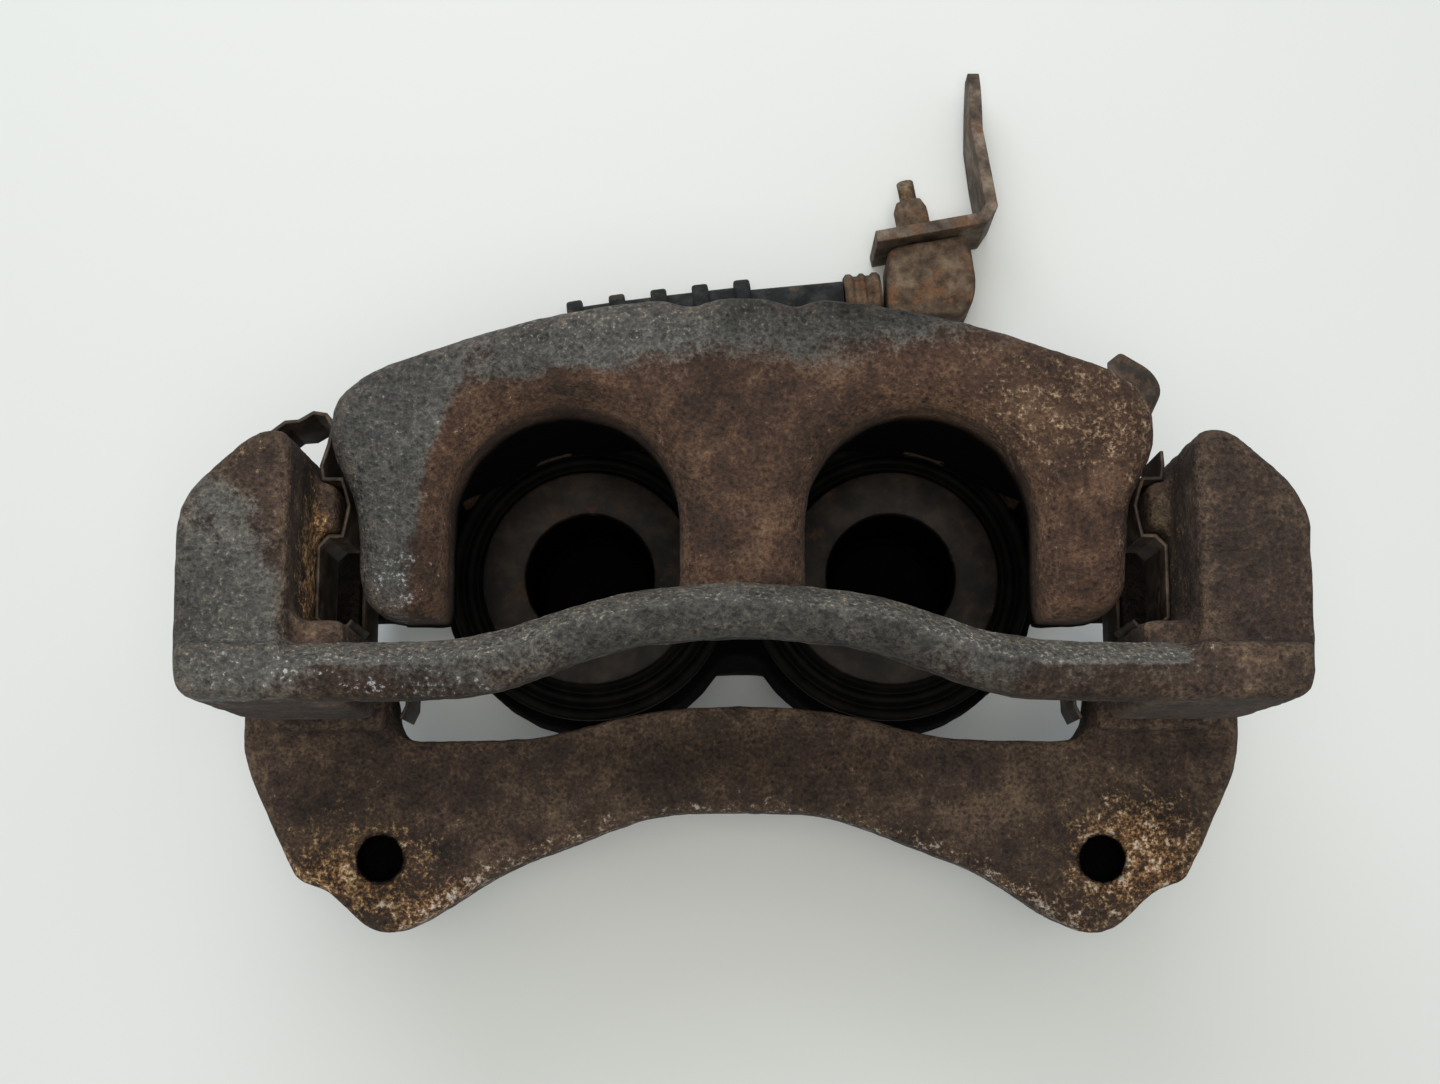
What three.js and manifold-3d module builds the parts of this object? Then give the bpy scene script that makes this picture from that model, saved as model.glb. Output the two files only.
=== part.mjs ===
// Twin-piston floating brake caliper on its anchor bracket, with its flexible hose.
// Millimetres. +Z runs along the wheel axis to the outboard side, +Y points away from the
// wheel centre, and +X is to the right seen from outboard. The backs of the two cylinders
// stand on z = 0. The group is moved at the end, so that the origin is the bottom centre of
// the caliper's own box, without the hose.
import * as THREE from 'three';
import { mergeVertices } from 'three/addons/utils/BufferGeometryUtils.js';
import Module from 'manifold-3d';

// ---- driving dimensions ------------------------------------------------------------------
const GAP = 0.3; // clearance between pieces that touch
const BORE_X = 35.6; // from the middle plane to each piston axis
const WHEEL_Y = -126; // wheel axis, below the line of the piston axes
const PISTON_R = 25.5;
const PISTON_Z = [22, 70];
const CUP_R = 15;
const BARREL_R = 36;
const MOUTH_Z = 62; // machined face round the bores
const ROTOR_GAP_Z = [62, 131]; // from the cylinder mouths to the inner faces of the fingers
const FRONT_Z = 153; // outboard face of the fingers
const BRIDGE_INNER_R = 156; // underside of the bridge, about the wheel axis
const WINDOW_R = 23.1;
const BOOT_ROOM_R = 35; // relief under the bridge round each dust boot
const BOOT_ROOM_Z = [62, 80];
const PISTON_ROOM_R = 27; // relief for a piston that is far out
const PISTON_ROOM_Z = [79, 92];
const ROTOR_SLOT_Z = [84, 116]; // where the bracket clears the disc
const ROTOR_SLOT_R = 152.4;
const PLATE_Z = [64, 80];
const COLUMN_Z = [64, 162];
const BAR_Z = [157, 168];
const PIN = [99.5, 1.5]; // guide pin axis on the right side
const PIN_BORE_R = 5.8;
const MOUNT_HOLE = [82, -66];
const MOUNT_HOLE_R = 5.2; // an M12 thread, tapped from the inboard side and closed by a thin web
const MOUNT_BOSS = { r: 14, z: 36 };
const MOUNT_WEB_Z = [67, 71];
const EAR_Z = [40, 52];
const PAD_ROWS = { inboard: [64.5, 83], outboard: [117, 137.5] };
const CLIP_THICKNESS = 0.8;
const BANJO = { x: -75, y: 4, z: 15 }; // middle of the machined face of the inlet boss
const BLEEDER = { x: BORE_X, y: 0, z: 20, angle: 0.876 };
const HOSE_R = 5.25;
const HOSE_ROUTE = [
  [-82, 28.1, 13.4], [-82, 32.8, 12.9], [-81.3, 39.8, 11], [-79.3, 47.4, 9.9], [-76, 54.5, 9.2],
  [-71.5, 60.9, 8.8], [-65.9, 66.5, 8.6], [-59.5, 71, 8.6], [-52.4, 74.3, 8.6],
  [-44.8, 76.3, 8.6], [-34.4, 78, 8.6], [-22.4, 79.6, 8.6], [-10.7, 81, 8.6],
  [0.6, 82.3, 8.6], [12, 83.4, 8.6], [20.5, 84.2, 8.6], [28.5, 84.9, 8.8],
];
const GUARD_SPAN = [0.472, 0.823]; // the part of the hose's length inside the ribbed guard
const GUARD_RIBS = 5;

const SIDES = { left: -1, right: 1 };

// ---- solids ------------------------------------------------------------------------------
const wasm = await Module();
wasm.setup();

/** Signed volume of a triangle list, negative where its faces point inwards. */
function signedVolume(position, index) {
  const [a, b, c] = [new THREE.Vector3(), new THREE.Vector3(), new THREE.Vector3()];
  let total = 0;
  for (let i = 0; i < index.length; i += 3) {
    a.fromBufferAttribute(position, index[i]);
    b.fromBufferAttribute(position, index[i + 1]);
    c.fromBufferAttribute(position, index[i + 2]);
    total += a.dot(b.cross(c)) / 6;
  }
  return total;
}

/** A manifold solid of a closed geometry, with its faces turned outwards. */
function solidOf(geometry) {
  const bare = geometry.clone();
  bare.deleteAttribute('normal');
  bare.deleteAttribute('uv');
  const merged = mergeVertices(bare, 1e-4);
  const corners = Array.from(merged.index.array);
  const kept = [];
  for (let i = 0; i < corners.length; i += 3) {
    const [a, b, c] = corners.slice(i, i + 3);
    if (a !== b && b !== c && c !== a) kept.push(a, b, c);
  }
  if (signedVolume(merged.attributes.position, kept) < 0) kept.reverse();
  return new wasm.Manifold(new wasm.Mesh({
    numProp: 3,
    vertProperties: new Float32Array(merged.attributes.position.array),
    triVerts: Uint32Array.from(kept),
  }));
}

const join = (solids) => solids.reduce((whole, solid) => whole.add(solid));
const cut = (solid, tools) => tools.reduce((rest, tool) => rest.subtract(tool), solid);

/** A box between two corners. */
function box([x0, y0, z0], [x1, y1, z1]) {
  const geometry = new THREE.BoxGeometry(x1 - x0, y1 - y0, z1 - z0);
  geometry.translate((x0 + x1) / 2, (y0 + y1) / 2, (z0 + z1) / 2);
  return solidOf(geometry);
}

/** A solid of revolution about Z from [radius, height] points, stood at x, y. */
function turned(profile, [x, y] = [0, 0], segments = 32) {
  const points = profile.map(([r, z]) => new THREE.Vector2(r, z));
  const geometry = new THREE.LatheGeometry(points, segments);
  geometry.rotateX(Math.PI / 2);
  geometry.translate(x, y, 0);
  return solidOf(geometry);
}

/** A round bar along Z. */
const rod = (r, [z0, z1], at, segments = 32) => turned([[0, z0], [r, z0], [r, z1], [0, z1]], at, segments);

/** A ring along Z. */
const ring = (inner, outer, [z0, z1], at, segments = 32) => (
  turned([[inner, z0], [outer, z0], [outer, z1], [inner, z1], [inner, z0]], at, segments));

/** A prism of a shape along Z, with its ends bevelled where a bevel is given. */
function prism(shape, [z0, z1], bevel = 0) {
  const geometry = new THREE.ExtrudeGeometry(shape, {
    depth: z1 - z0 - 2 * bevel,
    curveSegments: 4,
    bevelEnabled: bevel > 0,
    bevelThickness: bevel,
    bevelSize: bevel,
    bevelOffset: -bevel,
    bevelSegments: Math.ceil(bevel / 2),
  });
  geometry.translate(0, 0, z0 + bevel);
  return solidOf(geometry);
}

/** A closed outline of [x, y, radius] corners, rounded as far as their edges have room. */
function outline(corners) {
  const shape = new THREE.Shape();
  const point = (i) => new THREE.Vector2(...corners[(i + corners.length) % corners.length]);
  corners.forEach(([x, y, wanted = 0], i) => {
    const corner = point(i);
    const edges = [point(i - 1).sub(corner), point(i + 1).sub(corner)];
    const radius = Math.min(wanted, ...edges.map((edge) => edge.length() * 0.48));
    const [before, after] = edges.map((edge) => corner.clone().add(edge.setLength(radius)));
    if (i === 0) shape.moveTo(before.x, before.y);
    else shape.lineTo(before.x, before.y);
    if (radius > 0) shape.quadraticCurveTo(x, y, after.x, after.y);
  });
  shape.closePath();
  return shape;
}

const mirror = (corners) => corners.map(([x, ...rest]) => [-x, ...rest]);
const onSide = (side, corners) => (side > 0 ? corners : mirror(corners));

/** A symmetrical outline from the corners of its right half, listed upwards. */
const bothHalves = (half) => outline([...half, ...mirror(half).reverse().filter(([x]) => x !== 0)]);

/** The outline of a sheet strip of a given thickness that follows a line of points. */
function strip(points, thickness) {
  const line = points.map(([x, y]) => new THREE.Vector2(x, y));
  const edge = (half) => line.map((point, i) => {
    const into = point.clone().sub(line[Math.max(i - 1, 0)]);
    const out = line[Math.min(i + 1, line.length - 1)].clone().sub(point);
    if (i === 0) into.copy(out);
    if (i === line.length - 1) out.copy(into);
    const normals = [into, out].map((way) => new THREE.Vector2(-way.y, way.x).normalize());
    const mitre = normals[0].clone().add(normals[1]).normalize();
    return point.clone().addScaledVector(mitre, half / mitre.dot(normals[0]));
  });
  return new THREE.Shape([...edge(thickness / 2), ...edge(-thickness / 2).reverse()]);
}

/** Turns a solid that stands on +Z so that it points along a direction from a point. */
function aimed(solid, from, direction) {
  const turn = new THREE.Quaternion().setFromUnitVectors(
    new THREE.Vector3(0, 0, 1),
    new THREE.Vector3(...direction).normalize(),
  );
  const place = new THREE.Matrix4().compose(new THREE.Vector3(...from), turn, new THREE.Vector3(1, 1, 1));
  return solid.transform(place.elements);
}

/** A prism with regular sides along Z, given across its flats. */
function hexagon(acrossFlats, [z0, z1], at) {
  return rod(acrossFlats / Math.sqrt(3), [z0, z1], at, 6);
}

const finish = (color, roughness, metalness) => (
  new THREE.MeshStandardMaterial({ color, roughness, metalness }));

const FINISH = {
  castIron: finish('#4b3f38', 0.85, 0.3),
  phenolic: finish('#2b2521', 0.6, 0),
  rubber: finish('#161514', 0.75, 0),
  springSteel: finish('#3a332d', 0.5, 0.8),
  pinSteel: finish('#8b8a86', 0.35, 0.9),
  zincSteel: finish('#75614f', 0.6, 0.7),
  copper: finish('#8a5a3c', 0.45, 0.9),
  hoseRubber: finish('#262626', 0.7, 0),
  rustedSteel: finish('#6b4a36', 0.85, 0.4),
};

/** A named mesh of a solid. */
function piece(name, solid, material) {
  const mesh = solid.asOriginal().simplify(0.01).getMesh();
  const geometry = new THREE.BufferGeometry();
  geometry.setAttribute('position', new THREE.BufferAttribute(Float32Array.from(mesh.vertProperties), 3));
  geometry.setIndex(Array.from(mesh.triVerts));
  geometry.computeVertexNormals();
  const result = new THREE.Mesh(geometry, material);
  result.name = name;
  return result;
}

// ---- caliper housing -----------------------------------------------------------------------
const FINGERS_OUTLINE = [
  [75.6, -19.8, 8], [77, 4, 8], [82.9, 14, 8], [82.6, 24.6, 8], [75, 30.8, 7], [46, 40.8, 12],
  [22, 45.2, 8], [0, 45.9, 0],
];
const SADDLE_OUTLINE = [[76.6, -4, 0], ...FINGERS_OUTLINE.slice(1)];
const RIDGE = [[50, 30], [50, 41], [70, 34.6], [70, 20]]; // raised shoulder of the bridge

/** One cylinder, round its bore axis. */
function barrel(x) {
  const profile = [[0, 0], [27, 0], [32, 5], [34, 14], [BARREL_R, 34], [BARREL_R, 60], [34, MOUTH_Z], [0, MOUTH_Z]];
  return turned(profile, [x, 0], 30);
}

/** What is cut from one cylinder: the bore, the seal groove and the seat of the dust boot. */
function boreCut(x) {
  const bore = PISTON_R + GAP;
  const profile = [
    [0, 14], [bore, 14], [bore, 50], [28.5, 50], [28.5, 54], [bore, 54], [bore, 58],
    [30.5, 58], [30.5, MOUTH_Z + 1], [0, MOUTH_Z + 1],
  ];
  return turned(profile, [x, 0], 30);
}

/** The opening between two fingers: round at the top and open at the bottom. */
function fingerWindow(x) {
  const [z0, z1] = [ROTOR_GAP_Z[1] - 8, FRONT_Z + 5];
  return join([rod(WINDOW_R, [z0, z1], [x, 0], 48), box([x - WINDOW_R, -40, z0], [x + WINDOW_R, 0, z1])]);
}

/** The ear that a guide pin is bolted to. */
function ear(side) {
  const [x, y] = PIN;
  const arm = outline(onSide(side, [[55, -7.6, 0], [x, y - 9.1, 4], [x, y + 9.5, 4], [62, 22, 0]]));
  return join([prism(arm, EAR_Z), rod(9.5, EAR_Z, [side * x, y], 28)]);
}

function caliperHousing() {
  const bores = [-BORE_X, BORE_X];
  const pins = Object.values(SIDES).map((side) => [side * PIN[0], PIN[1]]);
  const bleederWay = [Math.cos(BLEEDER.angle), Math.sin(BLEEDER.angle), 0];
  const bleederFoot = [BLEEDER.x, BLEEDER.y, BLEEDER.z];
  const inlet = [BANJO.x, BANJO.y, BANJO.z];
  const arch = cut(join([
    prism(bothHalves(SADDLE_OUTLINE), [30, 140]),
    prism(bothHalves(FINGERS_OUTLINE), [121, FRONT_Z], 4),
    ...[1, -1].map((side) => prism(outline(onSide(side, RIDGE)), [72, 128])),
  ]), [
    rod(BRIDGE_INNER_R, ROTOR_GAP_Z, [0, WHEEL_Y], 72),
    rod(BRIDGE_INNER_R, [29, ROTOR_GAP_Z[0] + 1], [0, WHEEL_Y], 72),
    ...bores.map((x) => rod(BOOT_ROOM_R, BOOT_ROOM_Z, [x, 0], 30)),
    ...bores.map((x) => rod(PISTON_ROOM_R, PISTON_ROOM_Z, [x, 0], 30)),
    ...bores.map(fingerWindow),
    ...[-10.3, 10.3].map((x) => rod(6, [104, FRONT_Z + 1], [x, 49.4], 16)),
  ]);
  const block = join([
    arch,
    ...bores.map(barrel),
    box([-30, -17.5, 8], [30, 20, 60]),
    box([-44, 0, 24], [44, 38, MOUTH_Z]),
    ...Object.values(SIDES).map(ear),
    aimed(rod(10.5, [0, 20], [0, 0], 24), inlet, [1, 0, 0]),
    aimed(rod(7.5, [24, 42], [0, 0], 20), bleederFoot, bleederWay),
  ]);
  return cut(block, [
    ...bores.map(boreCut),
    ...pins.map((pin) => rod(4.3, [EAR_Z[0] - 1, EAR_Z[1] + 1], pin, 20)),
    aimed(rod(5, [-1, 9.5], [0, 0], 20), inlet, [1, 0, 0]),
    aimed(rod(4.3, [28, 43], [0, 0], 20), bleederFoot, bleederWay),
  ]);
}

// ---- pistons, seals and boots ----------------------------------------------------------------
function piston(x) {
  const [bottom, face] = PISTON_Z;
  const profile = [
    [0, bottom], [24.5, bottom], [PISTON_R, bottom + 1], [PISTON_R, 62.5], [23.8, 62.5],
    [23.8, 66.2], [PISTON_R, 66.2], [PISTON_R, face - 0.8], [PISTON_R - 0.8, face],
    [CUP_R + 0.6, face], [CUP_R, face - 0.6], [CUP_R, bottom + 12], [0, bottom + 12],
  ];
  return turned(profile, [x, 0], 30);
}

const pistonSeal = (x) => ring(PISTON_R + GAP, 28.2, [50.3, 53.7], [x, 0], 24);

/** The bellows between the cylinder mouth and the groove of the piston. */
function dustBoot(x) {
  const profile = [
    [27.4, 58.3], [30.2, 58.3], [30.2, 62.4], [33.6, 62.6], [33.6, 66.2], [31.4, 66.6],
    [29.6, 64.2], [27.6, 66.2], [24.1, 64.9], [24.1, 62.8], [27.4, 62.4], [27.4, 58.3],
  ];
  return turned(profile, [x, 0], 30);
}

// ---- guide pins --------------------------------------------------------------------------------
function guidePin(side, bushed) {
  const at = [side * PIN[0], PIN[1]];
  const tip = bushed ? [rod(5.5, [57, 105.7], at, 24), rod(4, [105, 118], at, 20)] : [rod(5.5, [57, 118], at, 24)];
  return cut(join([hexagon(17, [EAR_Z[1] + GAP, 57.4], at), ...tip]), [rod(4, [EAR_Z[1], 74], at, 20)]);
}

const guideBushing = (side) => ring(4 + GAP, 5.5, [106, 117], [side * PIN[0], PIN[1]], 24);

function guidePinBolt(side) {
  const at = [side * PIN[0], PIN[1]];
  return join([
    rod(3.7, [38, 71], at, 20),
    rod(8.8, [37.8, EAR_Z[0] - GAP], at, 24),
    hexagon(13, [31.5, 38], at),
  ]);
}

function guidePinBoot(side) {
  const profile = [
    [5.8, 57.7], [8, 57.7], [9.4, 59.6], [7.6, 61.4], [8.2, 63], [8.2, 66.7], [6.4, 66.7],
    [6.4, 61.4], [5.8, 60.4], [5.8, 57.7],
  ];
  return turned(profile, [side * PIN[0], PIN[1]], 18);
}

// ---- anchor bracket -----------------------------------------------------------------------------
const COLUMN_OUTLINE = [
  [88, -37.3, 0], [109.8, -37.3, 7], [110.3, -1, 6], [106.4, 6.2, 6], [95, 15.9, 4],
  [89.6, 16.5, 3], [88, 13, 2],
];
const SLOT_WALL_X = 87.5; // bottom of the slots that the pad ears slide in
const LUG = { x: 83, y: [-0.3, 9.7] };
const FOOT_TOP_Y = -20.8;
const PLATE_OUTLINE = [
  [0, -55.4, 0], [20, -55.8, 8], [56, -69.6, 10], [69, -78.6, 5], [81.5, -84.4, 7],
  [95.2, -72.4, 2], [101, -71.2, 2], [110.2, -52.6, 8], [114.2, -43, 6], [114.6, -26, 6],
  [110.6, -14, 4], [88, -14, 0], [88, -21, 0], [81.4, -21, 0],
  [80.6, -28, 3], [79, -39.4, 6], [46, -38.8, 8], [22, -32.2, 10], [0, -31, 0],
];
const BAR_HALF = {
  top: [[108.2, -26.3, 0], [60, -25.8, 10], [48, -24.2, 8], [24, -16, 10], [0, -14.2, 0]],
  bottom: [[0, -25.1, 0], [22, -26.6, 8], [48, -36.2, 10], [62, -37.3, 8], [108, -37.3, 9]],
};

/** The column at one end of the bracket, with the lugs that hold the pads. */
function column(side) {
  const shape = (corners) => outline(onSide(side, corners));
  const foot = (x0) => shape([[x0, -37.3, 0], [92, -37.3, 0], [92, FOOT_TOP_Y, 0], [x0, FOOT_TOP_Y, 1]]);
  const lug = shape([[LUG.x, LUG.y[0], 1], [92, LUG.y[0], 0], [92, LUG.y[1], 0], [LUG.x, LUG.y[1], 1]]);
  const wall = shape([[SLOT_WALL_X, -30, 0], [92, -30, 0], [92, 8, 0], [SLOT_WALL_X, 8, 0]]);
  return join([
    prism(shape(COLUMN_OUTLINE), COLUMN_Z, 1.5),
    prism(foot(78), [ROTOR_SLOT_Z[1], 156]),
    prism(foot(81), [COLUMN_Z[0], ROTOR_SLOT_Z[0]]),
    prism(wall, [COLUMN_Z[0], 146]),
    prism(lug, [COLUMN_Z[0], ROTOR_SLOT_Z[0]]),
    prism(lug, [ROTOR_SLOT_Z[1], 138]),
  ]);
}

/** The outboard bar: level at its ends and arched over the middle. */
function tieBar() {
  const right = [...BAR_HALF.bottom, ...BAR_HALF.top];
  return prism(outline([...right, ...mirror(right.slice(1, -1)).reverse()]), BAR_Z, 1.5);
}

function anchorBracket() {
  const pins = Object.values(SIDES).map((side) => [side * PIN[0], PIN[1]]);
  const holes = Object.values(SIDES).map((side) => [side * MOUNT_HOLE[0], MOUNT_HOLE[1]]);
  const casting = join([
    ...Object.values(SIDES).map(column),
    prism(bothHalves(PLATE_OUTLINE), PLATE_Z, 1),
    ...holes.map((hole) => rod(MOUNT_BOSS.r, [MOUNT_BOSS.z, PLATE_Z[0] + 4], hole, 32)),
    tieBar(),
  ]);
  return cut(casting, [
    rod(ROTOR_SLOT_R, ROTOR_SLOT_Z, [0, WHEEL_Y], 72),
    ...pins.map((pin) => rod(PIN_BORE_R, [PLATE_Z[0] - 1, 126], pin, 24)),
    ...pins.map((pin) => rod(8.5, [PLATE_Z[0] - 1, 67], pin, 24)),
    ...holes.map((hole) => rod(MOUNT_HOLE_R, [MOUNT_BOSS.z - 1, MOUNT_WEB_Z[0]], hole, 24)),
    ...holes.map((hole) => rod(MOUNT_HOLE_R, [MOUNT_WEB_Z[1], PLATE_Z[1] + 1], hole, 24)),
  ]);
}

// ---- pad clips ------------------------------------------------------------------------------------
/** The line a clip's sheet follows up the slot and the column. The left ones curl over its top. */
function clipLine(row, side) {
  const legEnd = row === 'inboard'
    ? [[77.6, -34.4], [76.2, -31.5], [76, -23], [78, -19.9]]
    : [[79.4, -18.6], [80.4, -19.9]];
  const curl = side > 0 ? [[86.4, 16.4]] : [
    [85.2, 18], [84.6, 21.6], [86, 24.2], [88.6, 24.6], [91.6, 22.8], [94.4, 22.6], [97, 20.6], [97.8, 18],
  ];
  return [
    ...legEnd, [84.6, -19.9], [86.7, -18.2], [86.7, -3.4], [84.6, -1.3], [81.9, -1.3],
    [81.3, 1.6], [80.7, 5], [81.6, 8.4], [82.4, 10.6], [86.2, 10.6], [86.6, 13.4], ...curl,
  ];
}

function padClip(side, row) {
  const [z0, z1] = PAD_ROWS[row];
  const body = prism(strip(onSide(side, clipLine(row, side)), CLIP_THICKNESS), [z0, z1]);
  if (side < 0 || row === 'outboard') return body;
  const post = prism(strip([[86.3, 15], [85.8, 18], [85.8, 46.6]], CLIP_THICKNESS), [70, 86.4]);
  const flag = outline([
    [85.4, 34, 0], [94.6, 34.4, 1], [98, 41.4, 3], [95.6, 46, 3], [88.4, 50.4, 1], [85.4, 48, 0],
  ]);
  return join([body, post, prism(flag, [85.6, 86.4])]);
}

// ---- inlet and bleed screw ---------------------------------------------------------------------------
const OUT_OF_INLET = [-1, 0, 0];
const BANJO_STACK = { washer: 1.5, eye: 10 };

/** Heights over the boss face of the parts clamped by the banjo bolt. */
function banjoStack() {
  const inner = [GAP, GAP + BANJO_STACK.washer];
  const eye = [inner[1] + GAP, inner[1] + GAP + BANJO_STACK.eye];
  const outer = [eye[1] + GAP, eye[1] + GAP + BANJO_STACK.washer];
  return { inner, eye, outer, head: [outer[1] + GAP, outer[1] + GAP + 7] };
}

const STACK = banjoStack();
const atInlet = (solid) => aimed(solid, [BANJO.x, BANJO.y, BANJO.z], OUT_OF_INLET);
const copperWasher = (span) => atInlet(ring(5 + GAP, 8.5, span, [0, 0], 24));

function banjoBolt() {
  return atInlet(join([rod(4.7, [-9, STACK.head[0] + 1], [0, 0], 20), hexagon(14, STACK.head)]));
}

function banjoFitting() {
  const middle = BANJO.x - (STACK.eye[0] + STACK.eye[1]) / 2;
  const neck = aimed(rod(4.6, [6, 11], [0, 0], 20), [middle, BANJO.y, BANJO.z - 1.5], [0, 1, 0]);
  const eye = join([atInlet(rod(9.3, STACK.eye, [0, 0], 28)), neck]);
  return cut(eye, [atInlet(rod(5, [STACK.eye[0] - 1, STACK.eye[1] + 1], [0, 0], 24))]);
}

const caliperFerrule = () => aimed(rod(7.2, [15.3, 27], [0, 0], 20), [-82.1, 0, 13.5], [0, 1, 0]);

const atBleeder = (solid) => (
  aimed(solid, [BLEEDER.x, BLEEDER.y, BLEEDER.z], [Math.cos(BLEEDER.angle), Math.sin(BLEEDER.angle), 0]));

function bleederScrew() {
  const profile = [
    [0, 28.4], [2, 28.4], [4, 30.5], [4, 42.4], [2.9, 43], [2.9, 49], [2.4, 50], [2.4, 54], [3.4, 55],
    [3.4, 58], [2.2, 61], [0, 61],
  ];
  return atBleeder(join([turned(profile, [0, 0], 20), hexagon(10, [42.6, 49])]));
}

function bleederCap() {
  const profile = [[3.7, 49.6], [5, 49.6], [5, 62], [4, 63.6], [0, 63.6], [0, 61.6], [3.7, 61.6], [3.7, 49.6]];
  return atBleeder(turned(profile, [0, 0], 20));
}

// ---- hose -----------------------------------------------------------------------------------------------
const hosePoints = HOSE_ROUTE.map((point) => new THREE.Vector3(...point));
const hoseCurve = new THREE.CatmullRomCurve3(hosePoints, false, 'centripetal');

/** A round section swept along the hose between two fractions of its length. */
function alongHose(outer, inner, [u0, u1], steps, sides = 6) {
  const points = Array.from({ length: 13 }, (_, i) => hoseCurve.getPointAt(u0 + ((u1 - u0) * i) / 12));
  const shape = new THREE.Shape();
  shape.absarc(0, 0, outer, 0, 2 * Math.PI, false);
  if (inner > 0) shape.holes.push(new THREE.Path().absarc(0, 0, inner, 0, 2 * Math.PI, true));
  const extrudePath = new THREE.CatmullRomCurve3(points);
  return solidOf(new THREE.ExtrudeGeometry(shape, { steps, extrudePath, curveSegments: sides }));
}

/** The moulded guard: a thin sleeve with a rib at each even step. */
function hoseGuard() {
  const [u0, u1] = GUARD_SPAN;
  const pitch = (u1 - u0 - 0.03) / (GUARD_RIBS - 1);
  const ribs = Array.from({ length: GUARD_RIBS }, (_, i) => {
    const start = u0 + i * pitch;
    return alongHose(8.2, 5.9, [start, start + 0.03], 1);
  });
  return join([alongHose(6.3, HOSE_R + GAP, GUARD_SPAN, 10), ...ribs]);
}

// ---- fittings on the far end of the hose ------------------------------------------------------------------
const BLOCK_TILT = 0.181; // angle of the bracket and of the union block about Z
const PORT = [48.4, 100.5, 12]; // where the pipe union crosses the bracket's middle surface
const PORT_WAY = [-Math.sin(BLOCK_TILT), Math.cos(BLOCK_TILT), 0];
const HOSE_END = HOSE_ROUTE[HOSE_ROUTE.length - 1];
const atPort = (solid) => aimed(solid, PORT, PORT_WAY);

const endFerrule = () => aimed(rod(7, [GAP, 10.2], [0, 0], 20), HOSE_END, [1, 0.085, 0]);

function endBlock() {
  const shape = outline([[39.9, 77.6, 3], [61.4, 78.4, 5], [63.8, 86, 5], [61.8, 100.6, 3], [39.9, 96.7, 3]]);
  return cut(prism(shape, [0.4, 19.6], 1), [atPort(rod(4.1, [-12, 5], [0, 0], 20))]);
}

function hoseBracket() {
  const line = [[36.6, 98.3], [65.2, 103.5], [67.5, 107], [65.7, 118], [64.2, 129], [64.3, 147.4]];
  const side = [
    [90, 0.4, 0], [118, 0.4, 4], [140, 4, 6], [148, 9, 2], [148, 15, 2], [140, 20, 6], [118, 24, 4], [90, 24, 0],
  ];
  // the profile across the strip is drawn in Y and Z, then stood up along X
  const profile = prism(outline(side), [30, 75]).rotate([90, 0, 90]);
  const sheet = prism(strip(line, 3.2), [0, 25]).intersect(profile);
  return cut(sheet, [atPort(rod(4.4, [-4, 4], [0, 0], 20))]);
}

function tubeNut() {
  const dome = turned([[0, 2], [5.2, 2], [5.2, 8.4], [3.8, 11.2], [2.6 + GAP, 11.6], [0, 11.6]], [0, 0], 6);
  return atPort(cut(join([dome, rod(3.8, [-9, 3], [0, 0], 20)]), [rod(2.6, [-10, 13], [0, 0], 16)]));
}

const pipeStub = () => atPort(cut(rod(2.3, [-8, 17], [0, 0], 16), [rod(1.4, [-6, 18], [0, 0], 12)]));

// ---- the whole caliper ----------------------------------------------------------------------------------------
const caliper = new THREE.Group();
const cordPieces = new THREE.Group();

caliper.add(piece('caliper_housing', caliperHousing(), FINISH.castIron));
caliper.add(piece('anchor_bracket', anchorBracket(), FINISH.castIron));
for (const [name, side] of Object.entries(SIDES)) {
  const x = side * BORE_X;
  caliper.add(piece(`piston_${name}`, piston(x), FINISH.phenolic));
  caliper.add(piece(`piston_seal_${name}`, pistonSeal(x), FINISH.rubber));
  caliper.add(piece(`piston_dust_boot_${name}`, dustBoot(x), FINISH.rubber));
  caliper.add(piece(`guide_pin_${name}`, guidePin(side, side > 0), FINISH.pinSteel));
  caliper.add(piece(`guide_pin_bolt_${name}`, guidePinBolt(side), FINISH.zincSteel));
  caliper.add(piece(`guide_pin_boot_${name}`, guidePinBoot(side), FINISH.rubber));
  for (const row of Object.keys(PAD_ROWS)) {
    caliper.add(piece(`pad_clip_${row}_${name}`, padClip(side, row), FINISH.springSteel));
  }
}
caliper.add(piece('guide_pin_bushing', guideBushing(SIDES.right), FINISH.rubber));
caliper.add(piece('bleeder_screw', bleederScrew(), FINISH.zincSteel));
caliper.add(piece('bleeder_cap', bleederCap(), FINISH.rubber));
caliper.add(piece('banjo_bolt', banjoBolt(), FINISH.zincSteel));
caliper.add(piece('banjo_washer_inner', copperWasher(STACK.inner), FINISH.copper));
caliper.add(piece('banjo_washer_outer', copperWasher(STACK.outer), FINISH.copper));

cordPieces.add(piece('banjo_fitting', banjoFitting(), FINISH.zincSteel));
cordPieces.add(piece('hose_ferrule_caliper', caliperFerrule(), FINISH.rustedSteel));
cordPieces.add(piece('brake_hose', alongHose(HOSE_R, 0, [0, 1], 22), FINISH.hoseRubber));
cordPieces.add(piece('hose_guard', hoseGuard(), FINISH.hoseRubber));
cordPieces.add(piece('hose_ferrule_end', endFerrule(), FINISH.rustedSteel));
cordPieces.add(piece('hose_end_block', endBlock(), FINISH.rustedSteel));
cordPieces.add(piece('hose_bracket', hoseBracket(), FINISH.rustedSteel));
cordPieces.add(piece('tube_nut', tubeNut(), FINISH.rustedSteel));
cordPieces.add(piece('brake_pipe_stub', pipeStub(), FINISH.pinSteel));

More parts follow.
